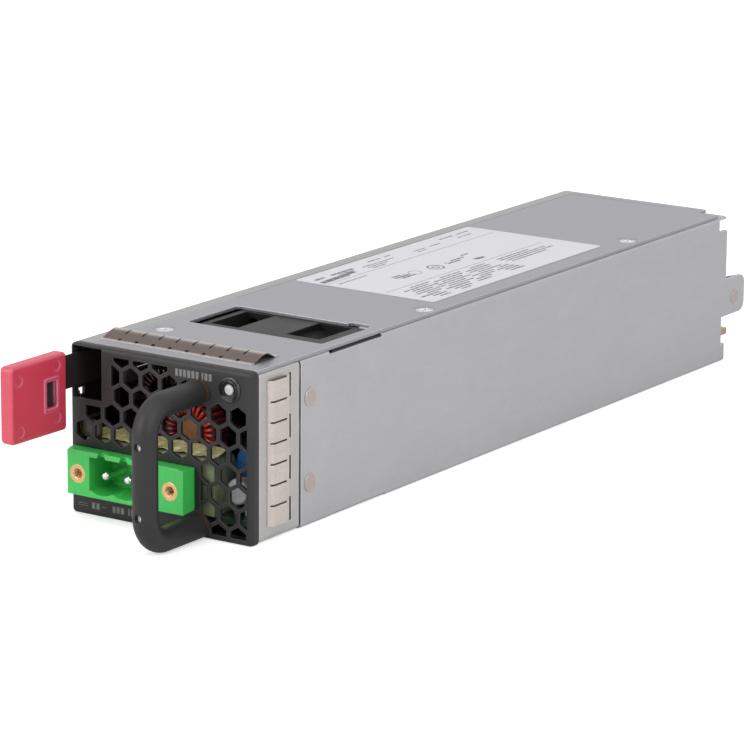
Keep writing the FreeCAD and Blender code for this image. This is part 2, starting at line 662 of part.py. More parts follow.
insulator = insulator.makeFillet(0.8, [e for e in insulator.Edges if e.BoundBox.ZMin > wrap_top - 0.01
                                       and e.BoundBox.YMax < 1.61])
save("line_insulator", insulator)
rings = [(0.2, 20.6, 10.0, 8.0, 3.9), (-13.9, 25.4, 18.5, 6.9, 3.2), (8.2, 24.5, 19.0, 6.0, 2.7)]
cores = []
windings = []
bases = []
ring_deep = 7.0
for x, z, y0, big, small in rings:
    skin = 1.2
    y1 = y0 + ring_deep
    core = rod_y(x, z, big - skin, y0 + skin, y1 - skin).cut(rod_y(x, z, small + skin, y0, y1))
    wire = prism_x([(y0, z + small, skin), (y1, z + small, skin), (y1, z + big, skin), (y0, z + big, skin)],
                   x, x + 1)
    face = wire.Faces[0]
    for candidate in wire.Faces:
        if abs(candidate.CenterOfMass.x - x) < 1e-6:
            face = candidate
    coil = face.revolve(FreeCAD.Vector(x, y0, z), FreeCAD.Vector(0, 1, 0), 360)
    if coil.Volume < 0:
        coil.reverse()
    coil = coil.cut(core)
    cores.append(core)
    windings.append(coil)
    seat = box(x - big * 0.72, x + big * 0.72, y0 + 0.4, y1 - 0.4, INPUT_TOP, z - big * 0.62)
    seat = seat.cut(rod_y(x, z, big + 0.02, y0 - 1, y1 + 1))
    bases.append(seat)
save("input_choke_cores", cores)
save("input_choke_windings", windings)
save("input_choke_bases", bases)
divider = box(rings[0][0] - 2.2, rings[0][0] + 2.4, rings[0][2] + 1.0, rings[0][2] + 6.0,
              rings[0][1] - 4.0, rings[0][1] + 4.0)
divider = divider.common(rod_y(rings[0][0], rings[0][1], rings[0][4] - 0.02, 0, 30))
save("choke_divider", divider)


def disc(x, y0, z, r, thick, spread, rim):
    # Flat round part standing on two wires that run down into the board.
    body = rod_y(x, z, r, y0, y0 + thick)
    body = body.makeFillet(rim, [e for e in body.Edges if len(e.Vertexes) == 1])
    wires = [rod_z(x + side * spread, y0 + thick / 2, 0.3, INPUT_Z, z) for side in (-1, 1)]
    return fuse([body] + wires), wires


blue, blue_wires = disc(17.5, 9.9, 15.4, 4.4, 2.8, 2.2, 1.1)
white, white_wires = disc(17.2, 5.2, 10.4, 3.0, 3.6, 1.5, 0.8)
save("blue_capacitor", blue)
save("white_suppressor", white)
save("input_board", cut(input_board, tools + blue_wires + white_wires))

# Fan
half_fan = FAN / 2
x0 = FAN_X - half_fan
x1 = FAN_X + half_fan
z0 = FAN_Z - half_fan
z1 = FAN_Z + half_fan
fan_rear = FAN_FRONT + FAN_DEPTH
body = prism_y(rounded(x0, x1, z0, z1, 1.6), FAN_FRONT, fan_rear)
duct = rod_y(FAN_X, FAN_Z, DUCT_R, FAN_FRONT - 1, fan_rear + 1)
body = body.cut(duct)
pocket_y0 = FAN_FRONT + 5.8
pocket_y1 = fan_rear - 0.7
tools = [
    prism_y([(x0 + 0.3, z1), (x0 + 0.4, z1 + 1), (x0 + 8.15, z1 + 1), (x0 + 8.15, z1 - 3.4)], pocket_y0, pocket_y1),
    prism_y([(FAN_X + 2.49, z1), (FAN_X + 2.5, z1 + 1), (FAN_X + 10.95, z1 + 1), (FAN_X + 10.95, z1 - 3.6)],
            pocket_y0, pocket_y1),
]
corner = half_fan - 2.6
for sx in (-1, 1):
    for sz in (-1, 1):
        tools.append(rod_y(FAN_X + sx * corner, FAN_Z + sz * corner, 1.6, FAN_FRONT - 1, fan_rear + 1))
body = cut(body, tools)
motor_y = fan_rear - 1.8
struts = []
for k in range(4):
    strut = box(HUB_R - 1, DUCT_R + 0.3, motor_y, fan_rear, -0.8, 0.8)
    strut.rotate(FreeCAD.Vector(0, 0, 0), FreeCAD.Vector(0, 1, 0), 45 + 90 * k)
    strut.translate(FreeCAD.Vector(FAN_X, 0, FAN_Z))
    struts.append(strut)
plate = rod_y(FAN_X, FAN_Z, HUB_R, motor_y, fan_rear)
tube = rod_y(FAN_X, FAN_Z, 3.6, FAN_FRONT + 5.0, motor_y)
body = fuse([body, plate, tube] + struts)
body = body.cut(rod_y(FAN_X, FAN_Z, 2.8, FAN_FRONT + 4, motor_y + 0.6))
save("fan_frame", body)
bearings = []
for y in (FAN_FRONT + 5.6, motor_y - 2.6):
    bearings.append(rod_y(FAN_X, FAN_Z, 2.8, y, y + 2.4).cut(
        rod_y(FAN_X, FAN_Z, SHAFT_R + SHAFT_GAP, y - 1, y + 4)))
save("fan_bearings", bearings)
stator = rod_y(FAN_X, FAN_Z, 7.2, FAN_FRONT + 6.5, motor_y).cut(
    rod_y(FAN_X, FAN_Z, 3.65, FAN_FRONT + 6, motor_y + 1))
grooves = []
for k in range(4):
    groove = box(5.0, 9.0, FAN_FRONT + 6, motor_y - 1.0, -1.0, 1.0)
    groove.rotate(FreeCAD.Vector(0, 0, 0), FreeCAD.Vector(0, 1, 0), 90 * k)
    groove.translate(FreeCAD.Vector(FAN_X, 0, FAN_Z))
    grooves.append(groove)
save("fan_stator", cut(stator, grooves))
cup_front = FAN_FRONT + 1.2
cup_rear = motor_y - 0.6
cup = rod_y(FAN_X, FAN_Z, HUB_R, cup_front, cup_rear).cut(
    rod_y(FAN_X, FAN_Z, HUB_R - 1.0, cup_front + 1.4, cup_rear + 1))
boss = rod_y(FAN_X, FAN_Z, 2.4, cup_front + 1.4, FAN_FRONT + 4.6)
cup = fuse([cup, boss])
shaft = rod_y(FAN_X, FAN_Z, SHAFT_R, cup_front + 0.8, motor_y + 0.3)
blades = []
shell = rod_y(FAN_X, FAN_Z, ROTOR_R, cup_front + 0.4, cup_rear - 0.2).cut(
    rod_y(FAN_X, FAN_Z, HUB_R - 0.3, cup_front, cup_rear))
blade_mid = (cup_front + cup_rear) / 2
for k in range(BLADES):
    wires = []
    for radius, pitch, chord in ((5.0, 38, 15.5), (18.5, 58, 19.0)):
        a = math.radians(pitch)
        along = (math.sin(a), math.cos(a))
        across = (math.cos(a), -math.sin(a))
        loop = []
        for c, t in ((-0.5, -0.35), (0.0, -0.15), (0.5, -0.35), (0.5, 0.35), (0.0, 0.75), (-0.5, 0.35)):
            tang = along[0] * chord * c * 0.8 + across[0] * t
            axial = along[1] * chord * c * 0.8 + across[1] * t
            loop.append(FreeCAD.Vector(tang, blade_mid + axial, radius))
        wires.append(Part.makePolygon(loop + [loop[0]]))
    blade = Part.makeLoft(wires, True, True)
    if blade.Volume < 0:
        blade.reverse()
    blade.rotate(FreeCAD.Vector(0, 0, 0), FreeCAD.Vector(0, 1, 0), 360.0 / BLADES * k)
    blade.translate(FreeCAD.Vector(FAN_X, 0, FAN_Z))
    blades.append(blade.common(shell))
rotor = fuse([cup] + blades)
rotor = rotor.cut(shaft)
save("fan_rotor", rotor)
save("fan_shaft", shaft)
bracket = prism_y([(x0 - 7.5, SHEET), (x0, SHEET), (x0, 13.0), (x0 - 1.0, 13.0), (x0 - 1.0, SHEET + 1.0, 0.4),
                   (x0 - 7.5, SHEET + 1.0)], fan_screw[1] - 6, fan_screw[1] + 6)
bracket = bracket.cut(rod_z(fan_screw[0], fan_screw[1], 1.2, 0, 4))
save("fan_bracket", bracket)
fan_bolt = fuse([rod_z(fan_screw[0], fan_screw[1], 1.2, 0.0, SHEET + 1.0),
                 rod_z(fan_screw[0], fan_screw[1], 1.9, SHEET + 1.0, SHEET + 2.2)])
save("fan_bracket_screw", fan_bolt)

# Fan leads and plug
plug_y = 57.4
plug = box(-21.0, -15.2, plug_y - 1.6, plug_y + 1.6, MAIN_TOP, MAIN_TOP + 5.0)
save("fan_plug", plug)
lead_r = 0.55
leads = []
for k in range(3):
    lead_z = 14.0 + 2.0 * k
    lx = -20.0 + 1.9 * k
    r = 1.2
    y0 = 48.5
    start = rod_x(y0, lead_z, lead_r, lx + r, x0)
    mid = rod_y(lx, lead_z, lead_r, y0 + r, plug_y - r)
    drop = rod_z(lx, plug_y, lead_r, MAIN_TOP + 5.0, lead_z - r)
    turn = Part.makeTorus(r, lead_r, FreeCAD.Vector(lx + r, y0 + r, lead_z), FreeCAD.Vector(0, 0, 1), 0, 360, 90)
    turn.rotate(FreeCAD.Vector(lx + r, y0 + r, lead_z), FreeCAD.Vector(0, 0, 1), 180)
    dive = Part.makeTorus(r, lead_r, FreeCAD.Vector(0, 0, 0), FreeCAD.Vector(0, 0, 1), 0, 360, 90)
    dive.rotate(FreeCAD.Vector(0, 0, 0), FreeCAD.Vector(0, 1, 0), -90)
    dive.translate(FreeCAD.Vector(lx, plug_y - r, lead_z - r))
    leads.append(fuse([start, turn, mid, dive, drop]))
save("fan_leads", leads)

# Main board, sheet and posts
sheet_front = 55.0
sheet_rear = LENGTH - 6.5
tongue_rear = LENGTH + TONGUE
board_plan = [
    (-22.8, MAIN_FRONT), (22.8, MAIN_FRONT), (22.8, LENGTH - 6.0), (21.5, LENGTH - 4.6),
    (21.5, tongue_rear, 0.6), (-21.5, tongue_rear, 0.6), (-21.5, LENGTH - 4.6), (-22.8, LENGTH - 6.0),
]
holes = [rod_z(x, y, 1.3, 0, 10) for x, y in standoffs]
main_board = cut(prism_z(board_plan, MAIN_Z, MAIN_TOP), holes)
save("main_board", main_board)
sheet = box(-23.8, 23.8, sheet_front, sheet_rear, SHEET, SHEET + 0.4)
sheet = cut(sheet, [rod_z(x, y, STANDOFF_R + 0.3, 0, 3) for x, y in standoffs])
save("insulation_sheet", sheet)
posts = []
screws = []
spots = [(x, y, SHEET, MAIN_Z, BOARD) for x, y in standoffs]
spots += [(x, y, FRAME_LIFT + SHEET, INPUT_Z, BOARD) for x, y in input_posts]
spots += [(x, y, SHEET, INPUT_Z, BOARD) for x, y in chassis_posts]
for x, y, low, high, thick in spots:
    hexagon = []
    for k in range(6):
        a = math.radians(60 * k)
        hexagon.append((x + STANDOFF_R * math.cos(a), y + STANDOFF_R * math.sin(a)))
    post = prism_z(hexagon, low, high)
    if low == SHEET and (x, y) in standoffs:
        post = fuse([post, rod_z(x, y, 1.2, 0.0, low)])
    post = post.cut(rod_z(x, y, 1.0, high - 2.0, high + 1))
    posts.append(post)
    screws.append(fuse([rod_z(x, y, 1.0, high - 2.0, high + thick),
                        rod_z(x, y, 2.0, high + thick, high + thick + 1.2)]))
save("board_standoffs", posts)
save("board_screws", screws)
contacts = []
pad = 2.6
pad_pitch = 3.35
for k in range(12):
    x = -18.4 + pad_pitch * k
    for z in (MAIN_TOP, MAIN_Z - 0.1):
        contacts.append(box(x - pad / 2, x + pad / 2, tongue_rear - 6.5, tongue_rear - 0.4, z, z + 0.1))
save("edge_contacts", contacts)

# Storage capacitors, transistors and front heatsink
caps = []
can_high = HEIGHT - 11.0
for x, y in ((-10.6, board_y(18.0)), (6.8, board_y(12.0)), (6.8, board_y(29.5))):
    r = 8.0 * SHRINK
    h = can_high
    can = rod_z(x, y, r, MAIN_TOP, MAIN_TOP + h)
    can = can.makeFillet(0.8, [e for e in can.Edges if len(e.Vertexes) == 1 and e.BoundBox.ZMin > MAIN_TOP + 1])
    can = can.cut(rod_z(x, y, r + 1, MAIN_TOP + 3.0, MAIN_TOP + 3.8).cut(
        rod_z(x, y, r - 0.5, MAIN_TOP, MAIN_TOP + 6)))
    caps.append(can)
save("storage_capacitors", caps)


def heatsink(x_face, side, y0, y1, z_top):
    # Upright plate with fins on the side away from the transistors.
    shapes = [box(min(x_face, x_face + side * 2.0), max(x_face, x_face + side * 2.0), y0, y1, MAIN_TOP, z_top)]
    z = MAIN_TOP + 3.0
    while z < z_top - 0.9:
        a = x_face + side * 1.9
        b = x_face + side * 4.8
        shapes.append(box(min(a, b), max(a, b), y0, y1, z, z + 0.9))
        z += 4.2
    return fuse(shapes)


sink_top = HEIGHT - 5.5
save("front_heatsink", heatsink(17.6, 1, board_y(2.5), board_y(63.5), sink_top))
save("rear_heatsink", heatsink(17.6, 1, board_y(69.5), board_y(123.5), sink_top))
transistors = []
for y in (board_y(43.0), board_y(56.0), board_y(75.5), board_y(91.5), board_y(111.5)):
    half = 5.0 * SHRINK
    body = box(13.2, 17.0, y - half, y + half, MAIN_TOP + 9.0, MAIN_TOP + 18.5)
    plate = box(16.4, 17.6, y - half, y + half, MAIN_TOP + 9.0, MAIN_TOP + 24.5)
    plate = plate.cut(rod_x(y, MAIN_TOP + 21.5, 1.8, 16, 18))
    legs = [box(14.9, 15.4, y + s * 2.5 - 0.4, y + s * 2.5 + 0.4, MAIN_TOP, MAIN_TOP + 9.2) for s in (-1, 0, 1)]
    transistors.append(fuse([body, plate] + legs))
save("transistors", transistors)


def toroid(x, y, low, big, small, high):
    # Ring lying on a low base plate; returns core, winding and base.
    skin = 1.4
    ring = rod_z(x, y, big - skin, low + skin, high - skin).cut(rod_z(x, y, small + skin, low, high))
    coil = rod_z(x, y, big, low, high).cut(rod_z(x, y, small, low - 1, high + 1))
    coil = coil.makeFillet(1.3, [e for e in coil.Edges if len(e.Vertexes) == 1 and e.Length > 1])
    coil = coil.cut(ring)
    return ring, coil


choke_ay = board_y(45.5)
choke_by = board_y(113.5)
choke_a = toroid(-8.6, choke_ay, MAIN_TOP + 1.0, 10.0 * SHRINK, 4.0, MAIN_TOP + 13.0)
choke_b = toroid(-8.0, choke_by, MAIN_TOP + 1.0, 10.5 * SHRINK, 4.5, MAIN_TOP + 15.0)
save("choke_cores", [choke_a[0], choke_b[0]])
save("choke_windings", [choke_a[1], choke_b[1]])
save("choke_bases", [rod_z(-8.6, choke_ay, 9.0 * SHRINK, MAIN_TOP, MAIN_TOP + 1.0),
                     rod_z(-8.0, choke_by, 9.5 * SHRINK, MAIN_TOP, MAIN_TOP + 1.0)])

# Transformer
tx = -3.0
ty = board_y(79.5)
core_deep = 7.0 * SHRINK
coil_deep = 13.0 * SHRINK
foot_deep = 12.0 * SHRINK
t_low = MAIN_TOP + 2.0
t_high = HEIGHT - 6.1
core = box(tx - 14, tx + 14, ty - core_deep, ty + core_deep, t_low, t_high)
core = cut(core, [box(tx + a, tx + b, ty - 8, ty + 8, t_low + 4.5, t_high - 4.5) for a, b in ((-10, -4), (4, 10))])
save("transformer_core", core)
coil = prism_z([(tx - 9.8, ty - coil_deep, 3), (tx + 9.8, ty - coil_deep, 3),
                (tx + 9.8, ty + coil_deep, 3), (tx - 9.8, ty + coil_deep, 3)], t_low + 4.5, t_high - 4.5)
coil = coil.cut(box(tx - 4, tx + 4, ty - core_deep, ty + core_deep, t_low, t_high))
save("transformer_coil", coil)
foot_shapes = [box(tx - 13, tx + 13, ty - foot_deep, ty + foot_deep, MAIN_TOP, t_low)]
foot_shapes.append(box(tx - 8, tx + 8, ty - foot_deep, ty - core_deep, t_low, t_low + 4.5))
foot_shapes.append(box(tx - 8, tx + 8, ty + core_deep, ty + foot_deep, t_low, t_low + 4.5))
save("transformer_bobbin", fuse(foot_shapes))

# Control board, output capacitors, bars, fuse
control_high = HEIGHT - 7.0
control = box(-21.9, -20.5, board_y(31.5), board_y(85.5), MAIN_TOP, control_high)
save("control_board", control)
chips = []
for y, deep, thick, low, high in ((37.5, 10.0, 1.6, 8.1, 18.1), (55.5, 6.0, 1.4, 7.1, 13.1),
                                  (55.5, 5.0, 1.4, 16.1, 21.1), (69.5, 9.0, 1.8, 11.1, 19.1)):
    chips.append(box(-20.5, -20.5 + thick, board_y(y), board_y(y) + deep * SHRINK, MAIN_TOP + low, MAIN_TOP + high))
save("control_chips", chips)
outs = []
out_r = 4.0 * SHRINK
out_high = HEIGHT / 2
for y in (board_y(131.5), board_y(141.1)):
    for x in (-15.0, -5.4, 4.2):
        can = rod_z(x, y, out_r, MAIN_TOP, MAIN_TOP + out_high)
        can = can.makeFillet(0.5, [e for e in can.Edges if len(e.Vertexes) == 1 and e.BoundBox.ZMin > MAIN_TOP + 1])
        outs.append(can)
save("output_capacitors", outs)
bar_front = LENGTH - 13.0
bar_rear = LENGTH - 3.5
bars = [prism_x([(bar_front, MAIN_TOP), (bar_rear, MAIN_TOP), (bar_rear, MAIN_TOP + 1.5),
                 (bar_front + 1.5, MAIN_TOP + 1.5, 0.5), (bar_front + 1.5, MAIN_TOP + 8.0),
                 (bar_front, MAIN_TOP + 8.0)], a, b) for a, b in ((-18.0, -3.0), (0.0, 15.0))]
save("output_bars", bars)
fy = board_y(30.1)
fz = MAIN_TOP + 3.4
fuse_tube = rod_x(fy, fz, 2.3, -14.0, -4.0)
save("fuse_tube", fuse_tube)
cap_shapes = []
for a, b in ((-17.0, -14.0), (-4.0, -1.8)):
    cap_shapes.append(fuse([rod_x(fy, fz, 2.6, a, b), box(a + 0.5, b - 0.5, fy - 1.0, fy + 1.0, MAIN_TOP, fz)]))
save("fuse_caps", cap_shapes)
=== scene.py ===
import bpy
import math
from mathutils import Matrix, Vector


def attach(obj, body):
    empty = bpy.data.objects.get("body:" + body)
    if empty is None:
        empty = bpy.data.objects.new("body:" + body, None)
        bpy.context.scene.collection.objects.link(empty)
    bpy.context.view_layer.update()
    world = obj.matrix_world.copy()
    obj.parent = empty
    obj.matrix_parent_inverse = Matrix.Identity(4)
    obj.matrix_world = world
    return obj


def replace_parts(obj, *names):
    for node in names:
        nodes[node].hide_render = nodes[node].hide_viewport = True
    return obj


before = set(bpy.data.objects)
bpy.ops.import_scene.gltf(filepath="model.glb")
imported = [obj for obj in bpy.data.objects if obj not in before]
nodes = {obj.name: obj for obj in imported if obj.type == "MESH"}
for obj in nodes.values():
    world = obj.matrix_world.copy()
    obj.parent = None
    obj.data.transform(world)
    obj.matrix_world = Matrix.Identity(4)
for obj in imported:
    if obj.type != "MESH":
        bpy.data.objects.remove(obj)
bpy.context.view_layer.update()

MM = 0.001
LENGTH = 214.5
HALF_LENGTH = LENGTH / 2


def at(x, y, z):
    # Place in metres from case millimetres, Y counted back from the front face.
    return Vector((x * MM, (y - HALF_LENGTH) * MM, z * MM))


# Shader groups
def new_group(name, inputs, outputs):
    tree = bpy.data.node_groups.new(name, "ShaderNodeTree")
    for kind, label, value in inputs:
        socket = tree.interface.new_socket(name=label, in_out="INPUT", socket_type=kind)
        socket.default_value = value
    for kind, label in outputs:
        tree.interface.new_socket(name=label, in_out="OUTPUT", socket_type=kind)
    start = tree.nodes.new("NodeGroupInput")
    end = tree.nodes.new("NodeGroupOutput")
    return tree, start, end


def node(tree, kind, **settings):
    made = tree.nodes.new(kind)
    for key, value in settings.items():
        setattr(made, key, value)
    return made


def math_node(tree, operation, a, b=None, clamp=False):
    made = node(tree, "ShaderNodeMath", operation=operation, use_clamp=clamp)
    for index, value in enumerate((a, b)):
        if value is None:
            continue
        if hasattr(value, "links"):
            tree.links.new(value, made.inputs[index])
        else:
            made.inputs[index].default_value = value
    return made.outputs[0]


def mix_colour(tree, factor, a, b, blend="MIX"):
    made = node(tree, "ShaderNodeMix", data_type="RGBA", blend_type=blend)
    for index, value in ((0, factor), (6, a), (7, b)):
        if hasattr(value, "links"):
            tree.links.new(value, made.inputs[index])
        else:
            made.inputs[index].default_value = value
    return made.outputs[2]


def stretched(tree, scale):
    coords = node(tree, "ShaderNodeTexCoord")
    mapping = node(tree, "ShaderNodeMapping")
    mapping.inputs["Scale"].default_value = scale
    tree.links.new(coords.outputs["Object"], mapping.inputs["Vector"])
    return mapping.outputs["Vector"]


FLOAT = "NodeSocketFloat"
VECTOR = "NodeSocketVector"


def build_edge_group():
    # Softened edge normal and a mask that is bright where two faces meet; the finishes use the mask to paint
    # highlights on edges.
    tree, start, end = new_group(
        "softened_edge", [(FLOAT, "Radius", 0.0003), (FLOAT, "Gain", 6.0)],
        [(VECTOR, "Normal"), (FLOAT, "Edge")])
    bevel = node(tree, "ShaderNodeBevel", samples=6)
    tree.links.new(start.outputs["Radius"], bevel.inputs["Radius"])
    geometry = node(tree, "ShaderNodeNewGeometry")
    dot = node(tree, "ShaderNodeVectorMath", operation="DOT_PRODUCT")
    tree.links.new(bevel.outputs["Normal"], dot.inputs[0])
    tree.links.new(geometry.outputs["Normal"], dot.inputs[1])
    gap = math_node(tree, "SUBTRACT", 1.0, dot.outputs["Value"], clamp=True)
    mask = math_node(tree, "MULTIPLY", gap, start.outputs["Gain"], clamp=True)
    tree.links.new(bevel.outputs["Normal"], end.inputs["Normal"])
    tree.links.new(mask, end.inputs["Edge"])
    return tree


def build_grain_group():
    # Fine grain and slow cloudiness, both centred on 0.5.
    tree, start, end = new_group(
        "fine_grain", [(FLOAT, "Grain Scale", 3000.0), (FLOAT, "Cloud Scale", 60.0)],
        [(FLOAT, "Grain"), (FLOAT, "Cloud")])
    vector = stretched(tree, (1, 1, 1))
    for label, scale, detail in (("Grain", "Grain Scale", 3.0), ("Cloud", "Cloud Scale", 4.0)):
        noise = node(tree, "ShaderNodeTexNoise")
        noise.inputs["Detail"].default_value = detail
        tree.links.new(vector, noise.inputs["Vector"])
        tree.links.new(start.outputs[scale], noise.inputs["Scale"])
        tree.links.new(noise.outputs["Fac"], end.inputs[label])
    return tree


def build_rolled_group():
    # Rolled sheet: fine speckle, faint long streaks, slow clouds and a faint crystal pattern.
    tree, start, end = new_group(
        "rolled_sheet", [(FLOAT, "Streaks", 0.35), (FLOAT, "Crystals", 0.1), (FLOAT, "Speckle", 0.5)],
        [(FLOAT, "Tone"), (FLOAT, "Height")])
    total = None
    for label, scale, detail in (("Streaks", (1500, 60, 1500), 4.0), ("Speckle", (2600, 2600, 2600), 2.0)):
        noise = node(tree, "ShaderNodeTexNoise")
        noise.inputs["Scale"].default_value = 1.0
        noise.inputs["Detail"].default_value = detail
        tree.links.new(stretched(tree, scale), noise.inputs["Vector"])
        part = math_node(tree, "SUBTRACT", noise.outputs["Fac"], 0.5)
        part = math_node(tree, "MULTIPLY", part, start.outputs[label])
        total = part if total is None else math_node(tree, "ADD", total, part)
    crystal = node(tree, "ShaderNodeTexVoronoi")
    crystal.inputs["Scale"].default_value = 260.0
    tree.links.new(stretched(tree, (1, 1, 1)), crystal.inputs["Vector"])
    split = node(tree, "ShaderNodeSeparateColor")
    tree.links.new(crystal.outputs["Color"], split.inputs[0])
    part = math_node(tree, "SUBTRACT", split.outputs[0], 0.5)
    part = math_node(tree, "MULTIPLY", part, start.outputs["Crystals"])
    total = math_node(tree, "ADD", total, part)
    cloud = node(tree, "ShaderNodeTexNoise")
    cloud.inputs["Scale"].default_value = 45.0
    cloud.inputs["Detail"].default_value = 3.0
    tree.links.new(stretched(tree, (1, 1, 1)), cloud.inputs["Vector"])
    slow = math_node(tree, "MULTIPLY", math_node(tree, "SUBTRACT", cloud.outputs["Fac"], 0.5), 0.25)
    total = math_node(tree, "ADD", total, slow)
    tree.links.new(math_node(tree, "ADD", total, 0.5), end.inputs["Tone"])
    tree.links.new(total, end.inputs["Height"])
    return tree


def build_span_group():
    # Soft step along one axis of the object, in millimetres: 0 below From, 1 above To.
    tree, start, end = new_group(
        "axis_step", [(VECTOR, "Axis", (0, 1000, 0)), (FLOAT, "From", 0.0), (FLOAT, "To", 1.0)],
        [(FLOAT, "Step")])
    coords = node(tree, "ShaderNodeTexCoord")
    dot = node(tree, "ShaderNodeVectorMath", operation="DOT_PRODUCT")
    tree.links.new(coords.outputs["Object"], dot.inputs[0])
    tree.links.new(start.outputs["Axis"], dot.inputs[1])
    step = node(tree, "ShaderNodeMapRange", interpolation_type="SMOOTHSTEP")
    tree.links.new(dot.outputs["Value"], step.inputs["Value"])
    tree.links.new(start.outputs["From"], step.inputs["From Min"])
    tree.links.new(start.outputs["To"], step.inputs["From Max"])
    tree.links.new(step.outputs["Result"], end.inputs["Step"])
    return tree


EDGE = build_edge_group()
GRAIN = build_grain_group()
ROLLED = build_rolled_group()
SPAN = build_span_group()


def place_group(tree, group, **values):
    made = node(tree, "ShaderNodeGroup", node_tree=group)
    for key, value in values.items():
        made.inputs[key.replace("_", " ")].default_value = value
    return made


def blank_material(name):
    material = bpy.data.materials.new(name)
    material.use_nodes = True
    tree = material.node_tree
    shader = tree.nodes["Principled BSDF"]
    return material, tree, shader


def tone_ramp(tree, value, dark, light, low=0.3, high=0.7):
    ramp = node(tree, "ShaderNodeValToRGB")
    ramp.color_ramp.elements[0].position = low
    ramp.color_ramp.elements[1].position = high
    ramp.color_ramp.elements[0].color = (*dark, 1)
    ramp.color_ramp.elements[1].color = (*light, 1)
    tree.links.new(value, ramp.inputs[0])
    return ramp.outputs[0]


def value_range(tree, value, low, high):
    made = node(tree, "ShaderNodeMapRange")
    made.inputs["From Min"].default_value = 0.25
    made.inputs["From Max"].default_value = 0.75
    made.inputs["To Min"].default_value = low
    made.inputs["To Max"].default_value = high
    tree.links.new(value, made.inputs["Value"])
    return made.outputs["Result"]


def bump(tree, height, normal, strength, distance):
    made = node(tree, "ShaderNodeBump")
    made.inputs["Strength"].default_value = strength
    made.inputs["Distance"].default_value = distance
    tree.links.new(height, made.inputs["Height"])
    if normal is not None:
        tree.links.new(normal, made.inputs["Normal"])
    return made.outputs["Normal"]


def sheet_metal(name, dark, light, rough=(0.38, 0.52), metal=0.85, edge=(0.9, 0.9, 0.9),
                streaks=0.35, crystals=0.1, speckle=0.5, radius=0.0003, edge_highlight_amount=0.6, extra=None):
    material, tree, shader = blank_material(name)
    rolled = place_group(tree, ROLLED, Streaks=streaks, Crystals=crystals, Speckle=speckle)
    soft = place_group(tree, EDGE, Radius=radius, Gain=4.0)
    colour = tone_ramp(tree, rolled.outputs["Tone"], dark, light)
    # Painted highlight: the edge colour is mixed in where two faces meet, standing in for light caught by
    # the edges.
    mask = math_node(tree, "MULTIPLY", soft.outputs["Edge"], edge_highlight_amount)
    colour = mix_colour(tree, mask, colour, (*edge, 1))
    if extra:
        colour = extra(tree, colour)
    tree.links.new(colour, shader.inputs["Base Color"])
    tree.links.new(value_range(tree, rolled.outputs["Tone"], *rough), shader.inputs["Roughness"])
    shader.inputs["Metallic"].default_value = metal
    normal = bump(tree, rolled.outputs["Height"], soft.outputs["Normal"], 0.12, 0.00003)
    tree.links.new(normal, shader.inputs["Normal"])
    return material


def plastic(name, dark, light, rough=(0.4, 0.5), grain=2500.0, cloud=70.0, depth=0.00003, strength=0.25,
            edge=None, edge_highlight_amount=0.0, radius=0.0003, coat=0.0, metal=0.0, specular=0.5, cloud_share=0.5,
            extra=None):
    material, tree, shader = blank_material(name)
    fine = place_group(tree, GRAIN, Grain_Scale=grain, Cloud_Scale=cloud)
    soft = place_group(tree, EDGE, Radius=radius, Gain=4.0)
    a = math_node(tree, "MULTIPLY", fine.outputs["Cloud"], cloud_share)
    b = math_node(tree, "MULTIPLY", fine.outputs["Grain"], 1.0 - cloud_share)
    tone = math_node(tree, "ADD", a, b)
    colour = tone_ramp(tree, tone, dark, light, 0.35, 0.65)
    if edge is not None:
        # Painted highlight: the edge colour is mixed in where two faces meet, standing in for light caught
        # by the edges.
        mask = math_node(tree, "MULTIPLY", soft.outputs["Edge"], edge_highlight_amount)
        colour = mix_colour(tree, mask, colour, (*edge, 1))
    if extra:
        colour = extra(tree, colour)
    tree.links.new(colour, shader.inputs["Base Color"])
    tree.links.new(value_range(tree, fine.outputs["Cloud"], *rough), shader.inputs["Roughness"])
    shader.inputs["Metallic"].default_value = metal
    shader.inputs["Coat Weight"].default_value = coat
    shader.inputs["Specular IOR Level"].default_value = specular
    normal = bump(tree, fine.outputs["Grain"], soft.outputs["Normal"], strength, depth)
    tree.links.new(normal, shader.inputs["Normal"])
    return material


# Finishes
def step_mask(tree, axis, low, high):
    made = place_group(tree, SPAN)
    made.inputs["Axis"].default_value = axis
    made.inputs["From"].default_value = low
    made.inputs["To"].default_value = high
    return made.outputs["Step"]


RIGHT = (1000, 0, 0)
LEFT = (-1000, 0, 0)
REARWARD = (0, 1000, 0)
FORWARD = (0, -1000, 0)
UPWARD = (0, 0, 1000)
DOWNWARD = (0, 0, -1000)


def painted_inside_shade(tree, colour):
    # Painted shade: the frame's inner faces and the faces by the cut for the latch are darkened to near
    # black, for the shade inside the case; its outer skin is bare.
    left = step_mask(tree, RIGHT, -24.95, -24.75)
    right = step_mask(tree, LEFT, -24.95, -24.75)
    low = step_mask(tree, UPWARD, 0.6, 0.8)
    high = step_mask(tree, DOWNWARD, -39.0, -38.8)
    inside = math_node(tree, "MULTIPLY", left, right)
    inside = math_node(tree, "MULTIPLY", inside, low)
    inside = math_node(tree, "MULTIPLY", inside, high)
    near = step_mask(tree, FORWARD, 103.0, 103.2)
    above = step_mask(tree, UPWARD, 27.2, 27.3)
    notch = math_node(tree, "MULTIPLY", near, above)
    notch = math_node(tree, "MULTIPLY", notch, step_mask(tree, LEFT, 20.0, 20.5))
    inside = math_node(tree, "MAXIMUM", inside, notch)
    return mix_colour(tree, inside, colour, (0.045, 0.035, 0.035, 1))


